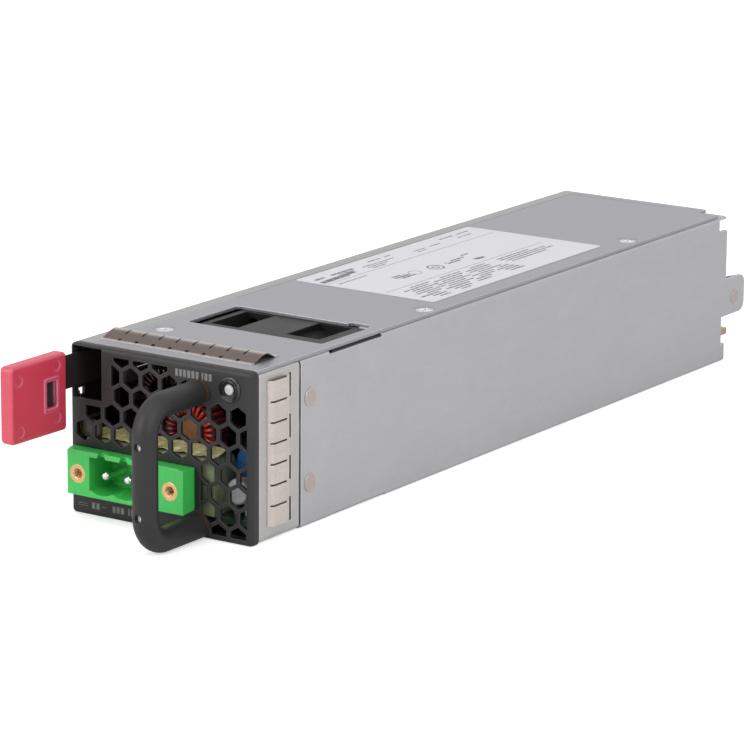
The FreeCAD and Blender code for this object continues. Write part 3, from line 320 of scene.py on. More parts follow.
def painted_slope_shade(tree, colour):
    # Painted shade: a dark brown on the steep front slope of the fingers stands in for the dark it reflects;
    # over the ridge and tail the strip stays bright.
    foot = step_mask(tree, REARWARD, 7.0 - HALF_LENGTH, 7.3 - HALF_LENGTH)
    ridge = step_mask(tree, REARWARD, 10.2 - HALF_LENGTH, 11.6 - HALF_LENGTH)
    slope = math_node(tree, "SUBTRACT", foot, ridge, clamp=True)
    return mix_colour(tree, slope, colour, (0.135, 0.10, 0.088, 1))


def rolled_border(tree, colour):
    # Outside the groove the cover has the greyer tone of the walls.
    border = step_mask(tree, LEFT, 21.2, 21.4)
    return mix_colour(tree, border, colour, (0.355, 0.36, 0.35, 1))


def shaded_rings(tree, colour):
    # Wire further back lies in the dark of the case.
    far = step_mask(tree, REARWARD, 17.2 - HALF_LENGTH, 18.0 - HALF_LENGTH)
    left = step_mask(tree, LEFT, -1.5, 2.0)
    colour = mix_colour(tree, left, colour, (0.17, 0.014, 0.014, 1))
    right = step_mask(tree, RIGHT, 6.4, 7.6)
    colour = mix_colour(tree, right, colour, (0.055, 0.006, 0.006, 1))
    return mix_colour(tree, far, colour, (0.035, 0.004, 0.004, 1))


def brown_collar(tree, colour):
    # The rod is brown from 1.1 mm in front of the panel's face backwards, the rest of the rod is bright.
    foot = step_mask(tree, REARWARD, -1.3 - HALF_LENGTH, -1.1 - HALF_LENGTH)
    return mix_colour(tree, foot, colour, (0.10, 0.05, 0.025, 1))


def bare_tongue(tree, colour):
    # Behind the case the board is bare laminate.
    bare = step_mask(tree, REARWARD, 106.6, 107.0)
    return mix_colour(tree, bare, colour, (0.36, 0.24, 0.10, 1))


# The edge colours of these finishes are painted highlights on their edges.
galvanised_side = sheet_metal("galvanised_wall", (0.415, 0.415, 0.43), (0.475, 0.475, 0.49))
galvanised_cover = sheet_metal("galvanised_cover", (0.305, 0.30, 0.325), (0.35, 0.345, 0.37),
                               extra=rolled_border)
galvanised_frame = sheet_metal("galvanised_frame", (0.42, 0.415, 0.41), (0.49, 0.485, 0.48),
                               extra=painted_inside_shade)
black_coat = plastic("black_powder_coat", (0.012, 0.0115, 0.012), (0.024, 0.023, 0.0235), rough=(0.45, 0.6),
                     grain=3200, strength=0.5, edge=(0.13, 0.125, 0.125), edge_highlight_amount=0.5, specular=0.4)
bronze_strip = sheet_metal("bronze_contact_strip", (0.36, 0.34, 0.325), (0.45, 0.43, 0.415), metal=0.7,
                           edge=(0.85, 0.82, 0.8), rough=(0.3, 0.42), radius=0.0001, extra=painted_slope_shade)
pale_strip = sheet_metal("pale_contact_strip", (0.49, 0.435, 0.40), (0.60, 0.54, 0.50), metal=0.75,
                         edge=(0.95, 0.9, 0.86), rough=(0.3, 0.42), radius=0.0001)
grip_plastic = plastic("handle_moulding", (0.010, 0.0095, 0.010), (0.018, 0.017, 0.018), rough=(0.45, 0.56),
                       grain=4200, strength=0.35, specular=0.4)
bright_steel = sheet_metal("bright_steel", (0.50, 0.50, 0.50), (0.72, 0.72, 0.72), metal=1.0,
                           rough=(0.22, 0.36))
# Painted glint: a near-white base with low metallic shows the core as white spots through the grip's holes,
# standing in for the steel's glint.
handle_steel_painted_glint = sheet_metal("handle_steel_painted_glint", (0.80, 0.80, 0.80), (0.95, 0.95, 0.95), metal=0.35,
                           rough=(0.22, 0.36),
                           extra=brown_collar)
spring_coat = plastic("black_spring_steel", (0.022, 0.018, 0.018), (0.034, 0.028, 0.028), rough=(0.35, 0.5),
                      grain=3000, metal=0.3)
# Painted sheen: the pink edge colour over a wide radius stands in for the pink highlights on the tab's front
# and top edges.
latch_plastic = plastic("red_latch_plastic", (0.52, 0.032, 0.062), (0.58, 0.043, 0.082), rough=(0.36, 0.46),
                        grain=2600, strength=0.2, edge=(0.86, 0.32, 0.54), edge_highlight_amount=0.9, radius=0.0008,
                        specular=0.9)
green_plastic = plastic("green_terminal_plastic", (0.035, 0.42, 0.07), (0.05, 0.49, 0.09),
                        rough=(0.36, 0.48),
                        grain=2200, strength=0.15, edge=(0.25, 0.75, 0.3), edge_highlight_amount=0.5, radius=0.00025)
tin = sheet_metal("tin_plated_pin", (0.62, 0.62, 0.60), (0.80, 0.80, 0.78), metal=1.0, rough=(0.15, 0.28))
brass = sheet_metal("turned_brass", (0.62, 0.36, 0.14), (0.82, 0.56, 0.28), metal=1.0, rough=(0.18, 0.32),
                    edge=(1.0, 0.85, 0.6), radius=0.00015)
# Painted light: a paler, less metallic copy of the turned brass, so the thread crests deep inside the
# inserts show as lit.
thread_brass_painted_light = sheet_metal("threaded_brass_painted_light", (0.50, 0.27, 0.09), (0.95, 0.66, 0.34), metal=0.55,
                           rough=(0.2, 0.35),
                           speckle=2.5, edge=(1.0, 0.85, 0.6), radius=0.00015)
rivet_alloy = sheet_metal("rivet_alloy", (0.385, 0.335, 0.32), (0.47, 0.415, 0.40), metal=0.8,
                          rough=(0.3, 0.45))
black_part = plastic("black_moulding", (0.012, 0.012, 0.013), (0.022, 0.022, 0.024), rough=(0.4, 0.55))
fan_plastic = plastic("fan_moulding", (0.012, 0.012, 0.0115), (0.019, 0.019, 0.018), rough=(0.5, 0.62),
                      specular=0.35)
pocket_painted_shade = plastic("fan_pocket_shade", (0.004, 0.004, 0.004), (0.007, 0.007, 0.007), rough=(0.6, 0.7),
                         specular=0.2)
gloss_black = plastic("gloss_black_bezel", (0.006, 0.006, 0.007), (0.012, 0.012, 0.013), rough=(0.12, 0.2),
                     grain=1500, strength=0.05, coat=0.6)
label_film = plastic("label_film", (0.54, 0.535, 0.575), (0.58, 0.575, 0.615), rough=(0.3, 0.4), grain=900,
                     strength=0.05, coat=0.1)
label_ink = plastic("label_ink", (0.075, 0.075, 0.08), (0.12, 0.12, 0.13), rough=(0.35, 0.45))
dark_ink = plastic("dark_label_ink", (0.035, 0.035, 0.04), (0.06, 0.06, 0.065), rough=(0.35, 0.45))
panel_ink = plastic("panel_ink", (0.13, 0.13, 0.13), (0.20, 0.20, 0.20), rough=(0.4, 0.5))
groove_shade = plastic("groove_shade", (0.10, 0.10, 0.095), (0.14, 0.14, 0.135), rough=(0.5, 0.6))
board_mask = plastic("green_board", (0.009, 0.030, 0.018), (0.018, 0.052, 0.03), rough=(0.25, 0.4),
                     cloud=300,
                     coat=0.3, extra=bare_tongue)
black_sheet = plastic("black_insulation_sheet", (0.01, 0.01, 0.01), (0.02, 0.02, 0.02), rough=(0.3, 0.45))
yellow_tape = plastic("yellow_tape", (0.17, 0.195, 0.115), (0.27, 0.30, 0.18), rough=(0.25, 0.4), cloud=220,
                      strength=0.3, depth=0.0002, grain=600)
# Painted shade: a much darker copy of the tape's olive, for the fold of tape at the left that lies in shade.
tape_painted_shade = plastic("tape_painted_shade", (0.036, 0.033, 0.014), (0.065, 0.06, 0.025), rough=(0.3, 0.45),
                      cloud=250)
# Painted light: a much paler copy of the tape's yellow, for the lit top of the tape.
tape_sheet_painted_light = plastic("loose_tape_sheet_painted_light", (0.80, 0.76, 0.26), (1.0, 0.98, 0.62), rough=(0.2, 0.35), cloud=420,
                     strength=0.5, depth=0.0003, grain=500, specular=0.7)
ferrite = plastic("grey_ferrite", (0.03, 0.03, 0.034), (0.06, 0.06, 0.065), rough=(0.55, 0.7), grain=1500)
red_enamel = plastic("red_enamelled_wire", (0.42, 0.012, 0.014), (0.62, 0.035, 0.03), rough=(0.2, 0.3),
                     coat=0.5,
                     extra=shaded_rings)
copper_enamel = plastic("copper_enamelled_wire", (0.32, 0.10, 0.03), (0.5, 0.2, 0.08), rough=(0.2, 0.32),
                        coat=0.4, metal=0.6)
brown_varnish = plastic("brown_varnish", (0.20, 0.075, 0.02), (0.34, 0.14, 0.05), rough=(0.3, 0.45),
                        cloud=400)
blue_lacquer = plastic("blue_lacquer", (0.022, 0.13, 0.37), (0.045, 0.21, 0.52), rough=(0.22, 0.35),
                       coat=0.3)
sleeve = plastic("capacitor_sleeve", (0.015, 0.018, 0.03), (0.03, 0.035, 0.05), rough=(0.25, 0.4), coat=0.2)
white_ceramic = plastic("white_ceramic", (0.42, 0.43, 0.45), (0.58, 0.59, 0.61), rough=(0.5, 0.6))
heatsink_metal = sheet_metal("heatsink_alloy", (0.55, 0.56, 0.57), (0.72, 0.73, 0.74), rough=(0.3, 0.45))
copper = sheet_metal("copper_bar", (0.60, 0.28, 0.16), (0.80, 0.45, 0.30), metal=1.0, rough=(0.25, 0.4))
gold = sheet_metal("gold_plate", (0.70, 0.48, 0.14), (0.90, 0.70, 0.32), metal=1.0, rough=(0.15, 0.28))
plug_plastic = plastic("cream_plug", (0.62, 0.59, 0.50), (0.74, 0.71, 0.62))
lead_red = plastic("red_lead_cover", (0.36, 0.02, 0.02), (0.5, 0.04, 0.03), rough=(0.35, 0.45))

lens_clear, tree, shader = blank_material("clear_lens")
fine = place_group(tree, GRAIN, Grain_Scale=700.0, Cloud_Scale=250.0)
tree.links.new(tone_ramp(tree, fine.outputs["Cloud"], (0.50, 0.51, 0.52), (0.66, 0.66, 0.67)),
               shader.inputs["Base Color"])
tree.links.new(value_range(tree, fine.outputs["Grain"], 0.03, 0.12), shader.inputs["Roughness"])
shader.inputs["Transmission Weight"].default_value = 0.25
shader.inputs["IOR"].default_value = 1.49

FINISH = {
    "chassis": galvanised_side, "front_frame": galvanised_frame, "top_cover": galvanised_cover,
    "front_grille_panel": black_coat, "top_finger_strip": bronze_strip, "side_finger_strip": pale_strip,
    "handle_grip": grip_plastic, "handle_core": handle_steel_painted_glint, "handle_screws": bright_steel,
    "latch_leaf": spring_coat, "latch_tab": latch_plastic, "latch_rivets": rivet_alloy,
    "terminal_housing": green_plastic, "terminal_pins": tin, "terminal_inserts": brass,
    "led_bezel": gloss_black, "led_lens": lens_clear, "cover_screws": bright_steel,
    "frame_rivets": rivet_alloy, "rear_rivets": rivet_alloy, "rear_guides": black_part,
    "rating_label": label_film, "fan_frame": fan_plastic, "fan_rotor": fan_plastic,
    "fan_shaft": bright_steel, "fan_bearings": bright_steel, "fan_stator": copper_enamel,
    "fan_bracket": galvanised_frame, "fan_bracket_screw": bright_steel, "fan_leads": lead_red,
    "fan_plug": plug_plastic, "insulation_sheet": black_sheet, "main_board": board_mask,
    "input_board": board_mask, "input_choke_cores": ferrite, "input_choke_windings": red_enamel,
    "input_choke_bases": black_part, "choke_divider": brown_varnish, "line_insulator": yellow_tape,
    "blue_capacitor": blue_lacquer, "white_suppressor": white_ceramic, "storage_capacitors": sleeve,
    "front_heatsink": heatsink_metal, "rear_heatsink": heatsink_metal, "transistors": black_part,
    "control_board": board_mask, "control_chips": black_part, "transformer_core": ferrite,
    "transformer_coil": yellow_tape, "transformer_bobbin": black_part, "choke_cores": ferrite,
    "choke_windings": copper_enamel, "choke_bases": black_part, "output_capacitors": sleeve,
    "output_bars": copper, "fuse_tube": white_ceramic, "fuse_caps": bright_steel, "edge_contacts": gold,
    "board_standoffs": brass, "board_screws": bright_steel,
}
for name, material in FINISH.items():
    shown = nodes[name]
    shown.data.materials.clear()
    shown.data.materials.append(material)


# Making pieces
def pick_nothing():
    if bpy.context.object and bpy.context.object.mode != "OBJECT":
        bpy.ops.object.mode_set(mode="OBJECT")
    bpy.ops.object.select_all(action="DESELECT")


def settle(piece, name, material, body="case"):
    # Place goes into the mesh, the finish on, and the piece rides on its body.
    pick_nothing()
    piece.select_set(True)
    bpy.context.view_layer.objects.active = piece
    bpy.ops.object.transform_apply(location=True, rotation=True, scale=True)
    piece.name = name
    piece.data.name = name
    piece.data.materials.clear()
    piece.data.materials.append(material)
    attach(piece, body)
    return piece


def join(parts):
    pick_nothing()
    for part in parts:
        part.select_set(True)
    bpy.context.view_layer.objects.active = parts[0]
    bpy.ops.object.join()
    return bpy.context.object


def smooth(piece, degrees):
    # Smooth shading up to an angle.
    pick_nothing()
    piece.select_set(True)
    bpy.context.view_layer.objects.active = piece
    bpy.ops.object.shade_smooth_by_angle(angle=math.radians(degrees))
    return piece


def smooth_all(piece):
    for face in piece.data.polygons:
        face.use_smooth = True
    return piece


LOOP_RADIUS = 0.5
LOOP_WIRE = 0.11
SQUARENESS = 0.45


def wound_ring(x, y0, z, deep, big, small, turns, wire):
    # Turns of wire round a ring core whose axis runs front to back.
    parts = []
    mid = (big + small) / 2
    for k in range(turns):
        angle = 2 * math.pi * k / turns
        pick_nothing()
        bpy.ops.mesh.primitive_torus_add(major_segments=20, minor_segments=8, major_radius=LOOP_RADIUS,
                                         minor_radius=LOOP_WIRE, align="WORLD", location=(0, 0, 0))
        loop = bpy.context.object
        for vertex in loop.data.vertices:
            px, py, pz = vertex.co
            reach = math.hypot(px, py)
            ux, uy = px / reach, py / reach
            sx = math.copysign(abs(ux) ** SQUARENESS, ux)
            sy = math.copysign(abs(uy) ** SQUARENESS, uy)
            inner_x = (big - small - wire) / 2 * sx
            inner_y = (deep - wire) / 2 * sy
            off = (reach - LOOP_RADIUS) / LOOP_WIRE
            vertex.co = ((inner_x + off * ux * wire / 2) * MM, (inner_y + off * uy * wire / 2) * MM,
                         pz / LOOP_WIRE * wire / 2 * MM)
        turn = Matrix.Rotation(angle, 4, "Y")
        lift = Matrix.Translation((mid * MM, 0, 0))
        place = Matrix.Translation(at(x, y0 + deep / 2, z))
        loop.data.transform(place @ turn @ lift)
        parts.append(loop)
    return smooth_all(join(parts))


def block(x0, x1, y0, y1, z0, z1):
    # Box primitive brought to its size and place.
    pick_nothing()
    bpy.ops.mesh.primitive_cube_add(size=1, location=(0, 0, 0))
    part = bpy.context.object
    middle = at((x0 + x1) / 2, (y0 + y1) / 2, (z0 + z1) / 2)
    size = Matrix.Diagonal(((x1 - x0) * MM, (y1 - y0) * MM, (z1 - z0) * MM, 1))
    part.data.transform(Matrix.Translation(middle) @ size)
    return part


def rod(x, y0, y1, z, radius, sides=48):
    # Round bar primitive lying front to back.
    pick_nothing()
    bpy.ops.mesh.primitive_cylinder_add(vertices=sides, radius=radius * MM, depth=(y1 - y0) * MM,
                                        location=(0, 0, 0))
    part = bpy.context.object
    upright = Matrix.Rotation(math.pi / 2, 4, "X")
    part.data.transform(Matrix.Translation(at(x, (y0 + y1) / 2, z)) @ upright)
    return part


def combine(piece, tools, operation="DIFFERENCE"):
    # Boolean of the piece with its tools, applied.
    tool = join(tools) if len(tools) > 1 else tools[0]
    pick_nothing()
    piece.select_set(True)
    bpy.context.view_layer.objects.active = piece
    bpy.ops.object.modifier_add(type="BOOLEAN")
    modifier = piece.modifiers[-1]
    modifier.object = tool
    modifier.operation = operation
    modifier.solver = "EXACT"
    bpy.ops.object.modifier_apply(modifier=modifier.name)
    bpy.data.objects.remove(tool)
    return piece


def pick(piece, kind, chosen):
    # Into edit mode with only the chosen faces, edges or corners picked.
    pick_nothing()
    piece.select_set(True)
    bpy.context.view_layer.objects.active = piece
    bpy.ops.object.mode_set(mode="EDIT")
    bpy.ops.mesh.select_mode(type=kind)
    bpy.ops.mesh.select_all(action="DESELECT")
    bpy.ops.object.mode_set(mode="OBJECT")
    group = {"FACE": piece.data.polygons, "EDGE": piece.data.edges, "VERT": piece.data.vertices}[kind]
    for element in group:
        element.select = chosen(element)
    bpy.ops.object.mode_set(mode="EDIT")


def shift(piece, chosen, x=0.0, y=0.0, z=0.0):
    # Moves the chosen corners by millimetres.
    pick(piece, "VERT", chosen)
    bpy.ops.transform.translate(value=(x * MM, y * MM, z * MM))
    bpy.ops.object.mode_set(mode="OBJECT")


def soften(piece, width, segments=2, chosen=None, shade=30):
    # Bevels the chosen edges, or all sharp ones, and smooths the shading.
    if chosen is None:
        pick(piece, "FACE", lambda face: False)
        bpy.ops.mesh.select_mode(type="EDGE")
        bpy.ops.mesh.edges_select_sharp(sharpness=math.radians(40))
    else:
        pick(piece, "EDGE", chosen)
    bpy.ops.mesh.bevel(offset=width * MM, segments=segments, clamp_overlap=True)
    bpy.ops.object.mode_set(mode="OBJECT")
    bpy.ops.object.shade_smooth_by_angle(angle=math.radians(shade))
    return piece


def case_point(co):
    # Case millimetres of a mesh point.
    return co.x / MM, co.y / MM + HALF_LENGTH, co.z / MM


# Each ring: middle x, front y, middle z, outer and inner radius, turns.
RING_TABLE = (
    (0.2, 10.0, 20.6, 7.3, 3.9, 28), (-13.9, 18.5, 25.4, 6.9, 3.2, 26), (8.2, 19.0, 24.5, 6.0, 2.7, 22))
RING_DEEP = 7.0
RING_WIRE = 0.9

rings = [wound_ring(x, y0, z, RING_DEEP, big, small, turns, RING_WIRE)
         for x, y0, z, big, small, turns in RING_TABLE]
winding = settle(join(rings), "wound_red_wire", red_enamel)
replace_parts(winding, "input_choke_windings")


def slabs(name, cells, material):
    # Thin fields, each a low block, joined into one piece.
    return settle(join([block(*cell) for cell in cells]), name, material)


PRINT_LOW = 40.10
PRINT_HIGH = 40.13
BOLD_HIGH = 40.135
RING_LOW = 40.105
RING_HIGH = 0.03
PRINT_RUNS = (0.9, 1.5, 0.6, 1.2, 2.0)
PRINT_GAP = 0.3
PRINT_WIDEN = 0.6


def label_cells():
    # Rows of generic fields along the label: (x, width, [(from, to), ...]).
    rows = [
        (-17.6, 0.5, [(108.5, 114.0), (116.0, 118.5), (141.0, 147.5), (149.0, 154.5)]),
        (-16.3, 0.9, [(84.0, 88.0), (91.0, 100.2)]),
        (-15.2, 0.4, [(92.5, 99.0), (103.0, 116.5), (125.5, 131.0), (133.0, 138.0), (146.0, 152.5)]),
        (-14.0, 0.4, [(85.0, 97.5), (103.5, 112.0), (126.0, 129.5)]),
        (-12.8, 0.4, [(85.0, 94.0), (104.0, 109.5)]),
        (-11.4, 0.16, [(82.5, 156.5)]),
        (-9.3, 0.4, [(84.0, 96.0)]),
        (-2.9, 0.6, [(97.5, 101.0), (128.5, 131.5)]),
        (-1.6, 0.6, [(97.0, 103.5), (122.0, 127.5)]),
        (-0.4, 0.6, [(98.5, 104.0), (119.0, 124.5)]),
        (2.1, 1.0, [(126.9, 129.6)]),
        (5.1, 0.16, [(83.0, 154.0)]),
        (6.8, 0.5, [(91.0, 99.0), (104.0, 113.0), (117.5, 124.0), (130.0, 144.5)]),
        (8.1, 0.5, [(86.5, 97.0), (99.5, 112.0), (114.0, 124.5), (129.5, 150.5)]),
        (9.4, 0.5, [(88.0, 99.5), (101.0, 110.0), (113.5, 123.0), (130.5, 152.0)]),
        (10.7, 0.5, [(87.5, 95.0), (97.0, 111.5), (115.5, 125.5), (131.0, 147.0)]),
        (12.0, 0.5, [(86.0, 98.5), (100.0, 107.5), (110.5, 120.0), (122.5, 127.0)]),
        (13.3, 0.5, [(88.5, 94.5), (98.0, 109.0), (112.0, 118.5), (120.0, 127.5)]),
        (14.6, 0.6, [(84.0, 92.0), (95.0, 105.0), (108.5, 115.0), (121.5, 128.0)]),
        (16.0, 0.6, [(87.0, 93.0), (96.5, 104.0), (107.0, 113.0), (122.0, 128.0)]),
        (17.4, 0.5, [(88.0, 92.5), (97.5, 101.5)]),
    ]
    cells = []
    for x, width, spans in rows:
        for y0, y1 in spans:
            if width < 0.3 or y1 - y0 < 3:
                cells.append((x - width / 2, x + width / 2, y0, y1, PRINT_LOW, PRINT_HIGH))
                continue
            place = y0
            step = 0
            while place < y1:
                stop = min(place + PRINT_RUNS[(step + int(y0)) % len(PRINT_RUNS)], y1)
                side = width * PRINT_WIDEN
                cells.append((x - side, x + side, place, stop, PRINT_LOW, PRINT_HIGH))
                place = stop + PRINT_GAP
                step += 1
    return cells


slabs("label_print_fields", label_cells(), label_ink)
BOLD_FIELDS = (
    (-14.1, -12.4, 82.6, 84.2), (-14.3, -12.6, 84.6, 87.4), (-14.4, -12.9, 87.8, 90.2),
    (-14.5, -13.1, 90.6, 92.0), (-14.6, -13.2, 92.4, 94.6), (-14.8, -13.4, 95.0, 97.8),
    (1.9, 2.9, 127.6, 130.8))
slabs("label_bold_fields", [(*field, PRINT_LOW, BOLD_HIGH) for field in BOLD_FIELDS], dark_ink)


def print_ring(x, y, radius, line):
    # Flat printed ring on the label.
    pick_nothing()
    bpy.ops.mesh.primitive_circle_add(vertices=40, radius=radius * MM, fill_type="NGON", location=(0, 0, 0))
    ring = bpy.context.object
    bpy.ops.object.mode_set(mode="EDIT")
    bpy.ops.mesh.inset(thickness=line * MM)
    bpy.ops.mesh.delete(type="FACE")
    bpy.ops.mesh.select_all(action="SELECT")
    bpy.ops.mesh.extrude_region_move(TRANSFORM_OT_translate={"value": (0, 0, RING_HIGH * MM)})
    bpy.ops.mesh.select_all(action="SELECT")
    bpy.ops.mesh.normals_make_consistent(inside=False)
    bpy.ops.object.mode_set(mode="OBJECT")
    ring.data.transform(Matrix.Translation(at(x, y, RING_LOW)))
    return ring


dark_rings = [print_ring(-0.7, 113.6, 2.3, 0.42), print_ring(-0.7, 113.6, 1.0, 0.25)]
settle(join(dark_rings), "label_dark_rings", dark_ink)
PALE_RINGS = (
    (-1.8, 99.4, 1.25, 0.16), (-1.6, 105.7, 1.8, 0.16), (-1.7, 102.2, 0.9, 0.14), (-0.9, 119.3, 0.9, 0.14),
    (-1.0, 122.4, 1.0, 0.14))
pale_rings = [print_ring(*ring) for ring in PALE_RINGS]
settle(join(pale_rings), "label_pale_rings", label_ink)
GROOVE_LOW = 39.99
GROOVE_HIGH = 40.012
GROOVES = ((-21.38, -21.22, 58.0, 211.5), (-21.38, 8.0, 211.34, 211.5))
slabs("cover_groove_shade", [(*groove, GROOVE_LOW, GROOVE_HIGH) for groove in GROOVES], groove_shade)


# Front panel, bent and punched
PANEL_LEFT = -25.6
PANEL_RIGHT = 25.25
PANEL_HIGH = 40.0
PANEL_SHEET = 0.8
PANEL_DEEP = 2.6
PANEL_BEND = 1.0
NOTCH_RIGHT = -16.55
NOTCH_LOW = 27.35
NOTCH_HIGH = 39.5
HEX_FLATS = 4.45
HEX_PITCH = 5.4
HEX_ROW = 4.61
HEX_TOP = 38.43
HEX_STARTS = (-21.8, -19.1)
HEX_ZONES = [
    (-13.9, 3.0, 17.0, 38.15), (2.9, 23.9, 17.0, 31.8), (3.0, 7.4, 31.7, 36.0), (-24.0, -13.8, 17.0, 26.0),
    (-15.9, -13.8, 20.0, 27.4), (11.0, 23.9, 1.35, 18.6)]
HEX_LEAST = 0.21
HEX_STEPS = 8
HEX_ROUND = 1.16
ROWS = 9
COLUMNS = 9
WINDOW_LOW = NOTCH_LOW + 2.2
WINDOW_HIGH = 37.0
SHADE_CHEEK_LEFT = -25.35
SHADE_CHEEK_RIGHT = -24.9
SHADE_CHEEK_BACK = 3.85
SOCKET_CUT = (-22.75, 9.45, -1, 2, 6.1, 16.15)
LED_HOLE = 2.13
LED_X = 19.29
LED_Z = 35.47
POLE_X = -6.5
POLE_PITCH = 6.35
INSERT_XS = (-19.565, 6.435)
INSERT_Z = 11.2
INSERT_RADIUS = 2.15
HANDLE_X = 10.7
HANDLE_ZS = (2.9, 33.7)
HANDLE_HOLE = 1.05


def hexagon_share(x, z):
    # Share of a hexagon that lies inside the punched zones.
    half = HEX_FLATS / 2
    total = 0
    kept = 0
    for i in range(-HEX_STEPS, HEX_STEPS + 1):
        for k in range(-HEX_STEPS, HEX_STEPS + 1):
            dx = half * HEX_ROUND * i / HEX_STEPS
            dz = half * HEX_ROUND * k / HEX_STEPS
            if abs(dx) > half or abs(dx) * 0.5 + abs(dz) * 0.866 > half:
                continue
            total += 1
            kept += any(a < x + dx < b and c < z + dz < d for a, b, c, d in HEX_ZONES)
    return kept / total


def perforated_front():
    # A folded tray: bent edges, hexagons cut off at the zones' borders, and the notch for the latch.
    shell = block(PANEL_LEFT, PANEL_RIGHT, 0, PANEL_DEEP, 0, PANEL_HIGH)
    front = at(0, 0, 0).y
    corners = shell.data.vertices
    limit = front + 0.1 * MM
    soften(shell, PANEL_BEND, 4, lambda edge: min(corners[i].co.y for i in edge.vertices) < limit)
    pick(shell, "FACE", lambda face: face.normal.y > 0.9)
    bpy.ops.mesh.inset(thickness=PANEL_SHEET * MM)
    inward = (0, (PANEL_SHEET - PANEL_DEEP) * MM, 0)
    bpy.ops.mesh.extrude_region_move(TRANSFORM_OT_translate={"value": inward})
    bpy.ops.object.mode_set(mode="OBJECT")
    zone = block(HEX_ZONES[0][0], HEX_ZONES[0][1], -1, 2, HEX_ZONES[0][2], HEX_ZONES[0][3])
    for a, b, c, d in HEX_ZONES[1:]:
        combine(zone, [block(a, b, -1, 2, c, d)], "UNION")
    holes = []
    for row in range(ROWS):
        for column in range(COLUMNS):
            x = HEX_STARTS[row % 2] + HEX_PITCH * column
            z = HEX_TOP - HEX_ROW * row
            if hexagon_share(x, z) > HEX_LEAST:
                holes.append(rod(x, -0.5, 1.5, z, HEX_FLATS / math.sqrt(3), 6))
    combine(shell, [combine(join(holes), [zone], "INTERSECT")])
    inside = PANEL_LEFT + PANEL_SHEET
    combine(shell, [block(inside, NOTCH_RIGHT, -1, PANEL_SHEET + 0.05, NOTCH_LOW, NOTCH_HIGH)])
    outside = PANEL_LEFT - 1
    behind = PANEL_DEEP + 1
    combine(shell, [block(outside, inside + 0.2, -1, behind, WINDOW_LOW, WINDOW_HIGH)])
    combine(shell, [block(outside, inside + 0.2, 2.15, behind, NOTCH_LOW + 0.9, WINDOW_LOW + 0.1)])
    # Two black cheeks at the notch's left wall are painted shade: dark blocks that close see-through spots
    # where there is only shade.
    combine(shell, [block(SHADE_CHEEK_LEFT, SHADE_CHEEK_RIGHT, PANEL_DEEP - 0.4, SHADE_CHEEK_BACK, 36.95, 38.4)], "UNION")
    combine(shell, [block(SHADE_CHEEK_LEFT, SHADE_CHEEK_RIGHT, 2.0, SHADE_CHEEK_BACK, 28.9, 31.2)], "UNION")
    combine(shell, [block(-27, 27, 2.3, behind, 39.2, 41)])
    combine(shell, [block(*SOCKET_CUT)])
    feet = [rod(HANDLE_X, -1, 2, z, HANDLE_HOLE) for z in HANDLE_ZS]
    combine(shell, [rod(LED_X, -1, 2, LED_Z, LED_HOLE)] + feet)
    return smooth(shell, 30)


panel = settle(perforated_front(), "perforated_front", black_coat)
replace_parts(panel, "front_grille_panel")


# Plain blocks: start, widths, gap, low and high edge.
PANEL_ROWS = (
    (-19.65, (0.95, 0.95), 0.35, 1.75, 3.3), (-13.7, (0.85, 0.85, 1.0), 0.3, 1.75, 3.3),
    (-9.3, (0.45, 0.9), 0.35, 1.75, 3.4), (4.2, (0.85, 0.8, 0.85, 0.9, 0.85, 0.85), 0.28, 36.5, 38.2),
    (11.5, (0.5, 0.85, 0.85), 0.3, 36.5, 38.2))


def panel_cells():
    # Pale fields on the panel: a line over dashes, then the blocks, each (x0, x1, z0, z1).
    fields = [(-23.5, -20.95, 2.62, 2.80), (-23.5, -22.8, 2.1, 2.28), (-22.55, -21.85, 2.1, 2.28),
              (-21.6, -20.95, 2.1, 2.28), (-16.9, -15.5, 2.45, 2.63)]
    for start, widths, gap, low, high in PANEL_ROWS:
        x = start
        for width in widths:
            fields.append((x, x + width, low, high))
            x += width + gap
    return [(x0, x1, -0.025, 0.01, z0, z1) for x0, x1, z0, z1 in fields]


slabs("panel_print_fields", panel_cells(), panel_ink)


# Input socket, threads, tape, status light
SOCKET_LEFT = -22.45
SOCKET_RIGHT = 10.1
SOCKET_FRONT = -5.3
SOCKET_LOW = 6.2
SOCKET_HIGH = 16.8
RECESS_LEFT = -16.25
RECESS_RIGHT = 3.25
RECESS_BACK = 3.4
POLES = [POLE_X + POLE_PITCH * k for k in (-1, 0, 1)]


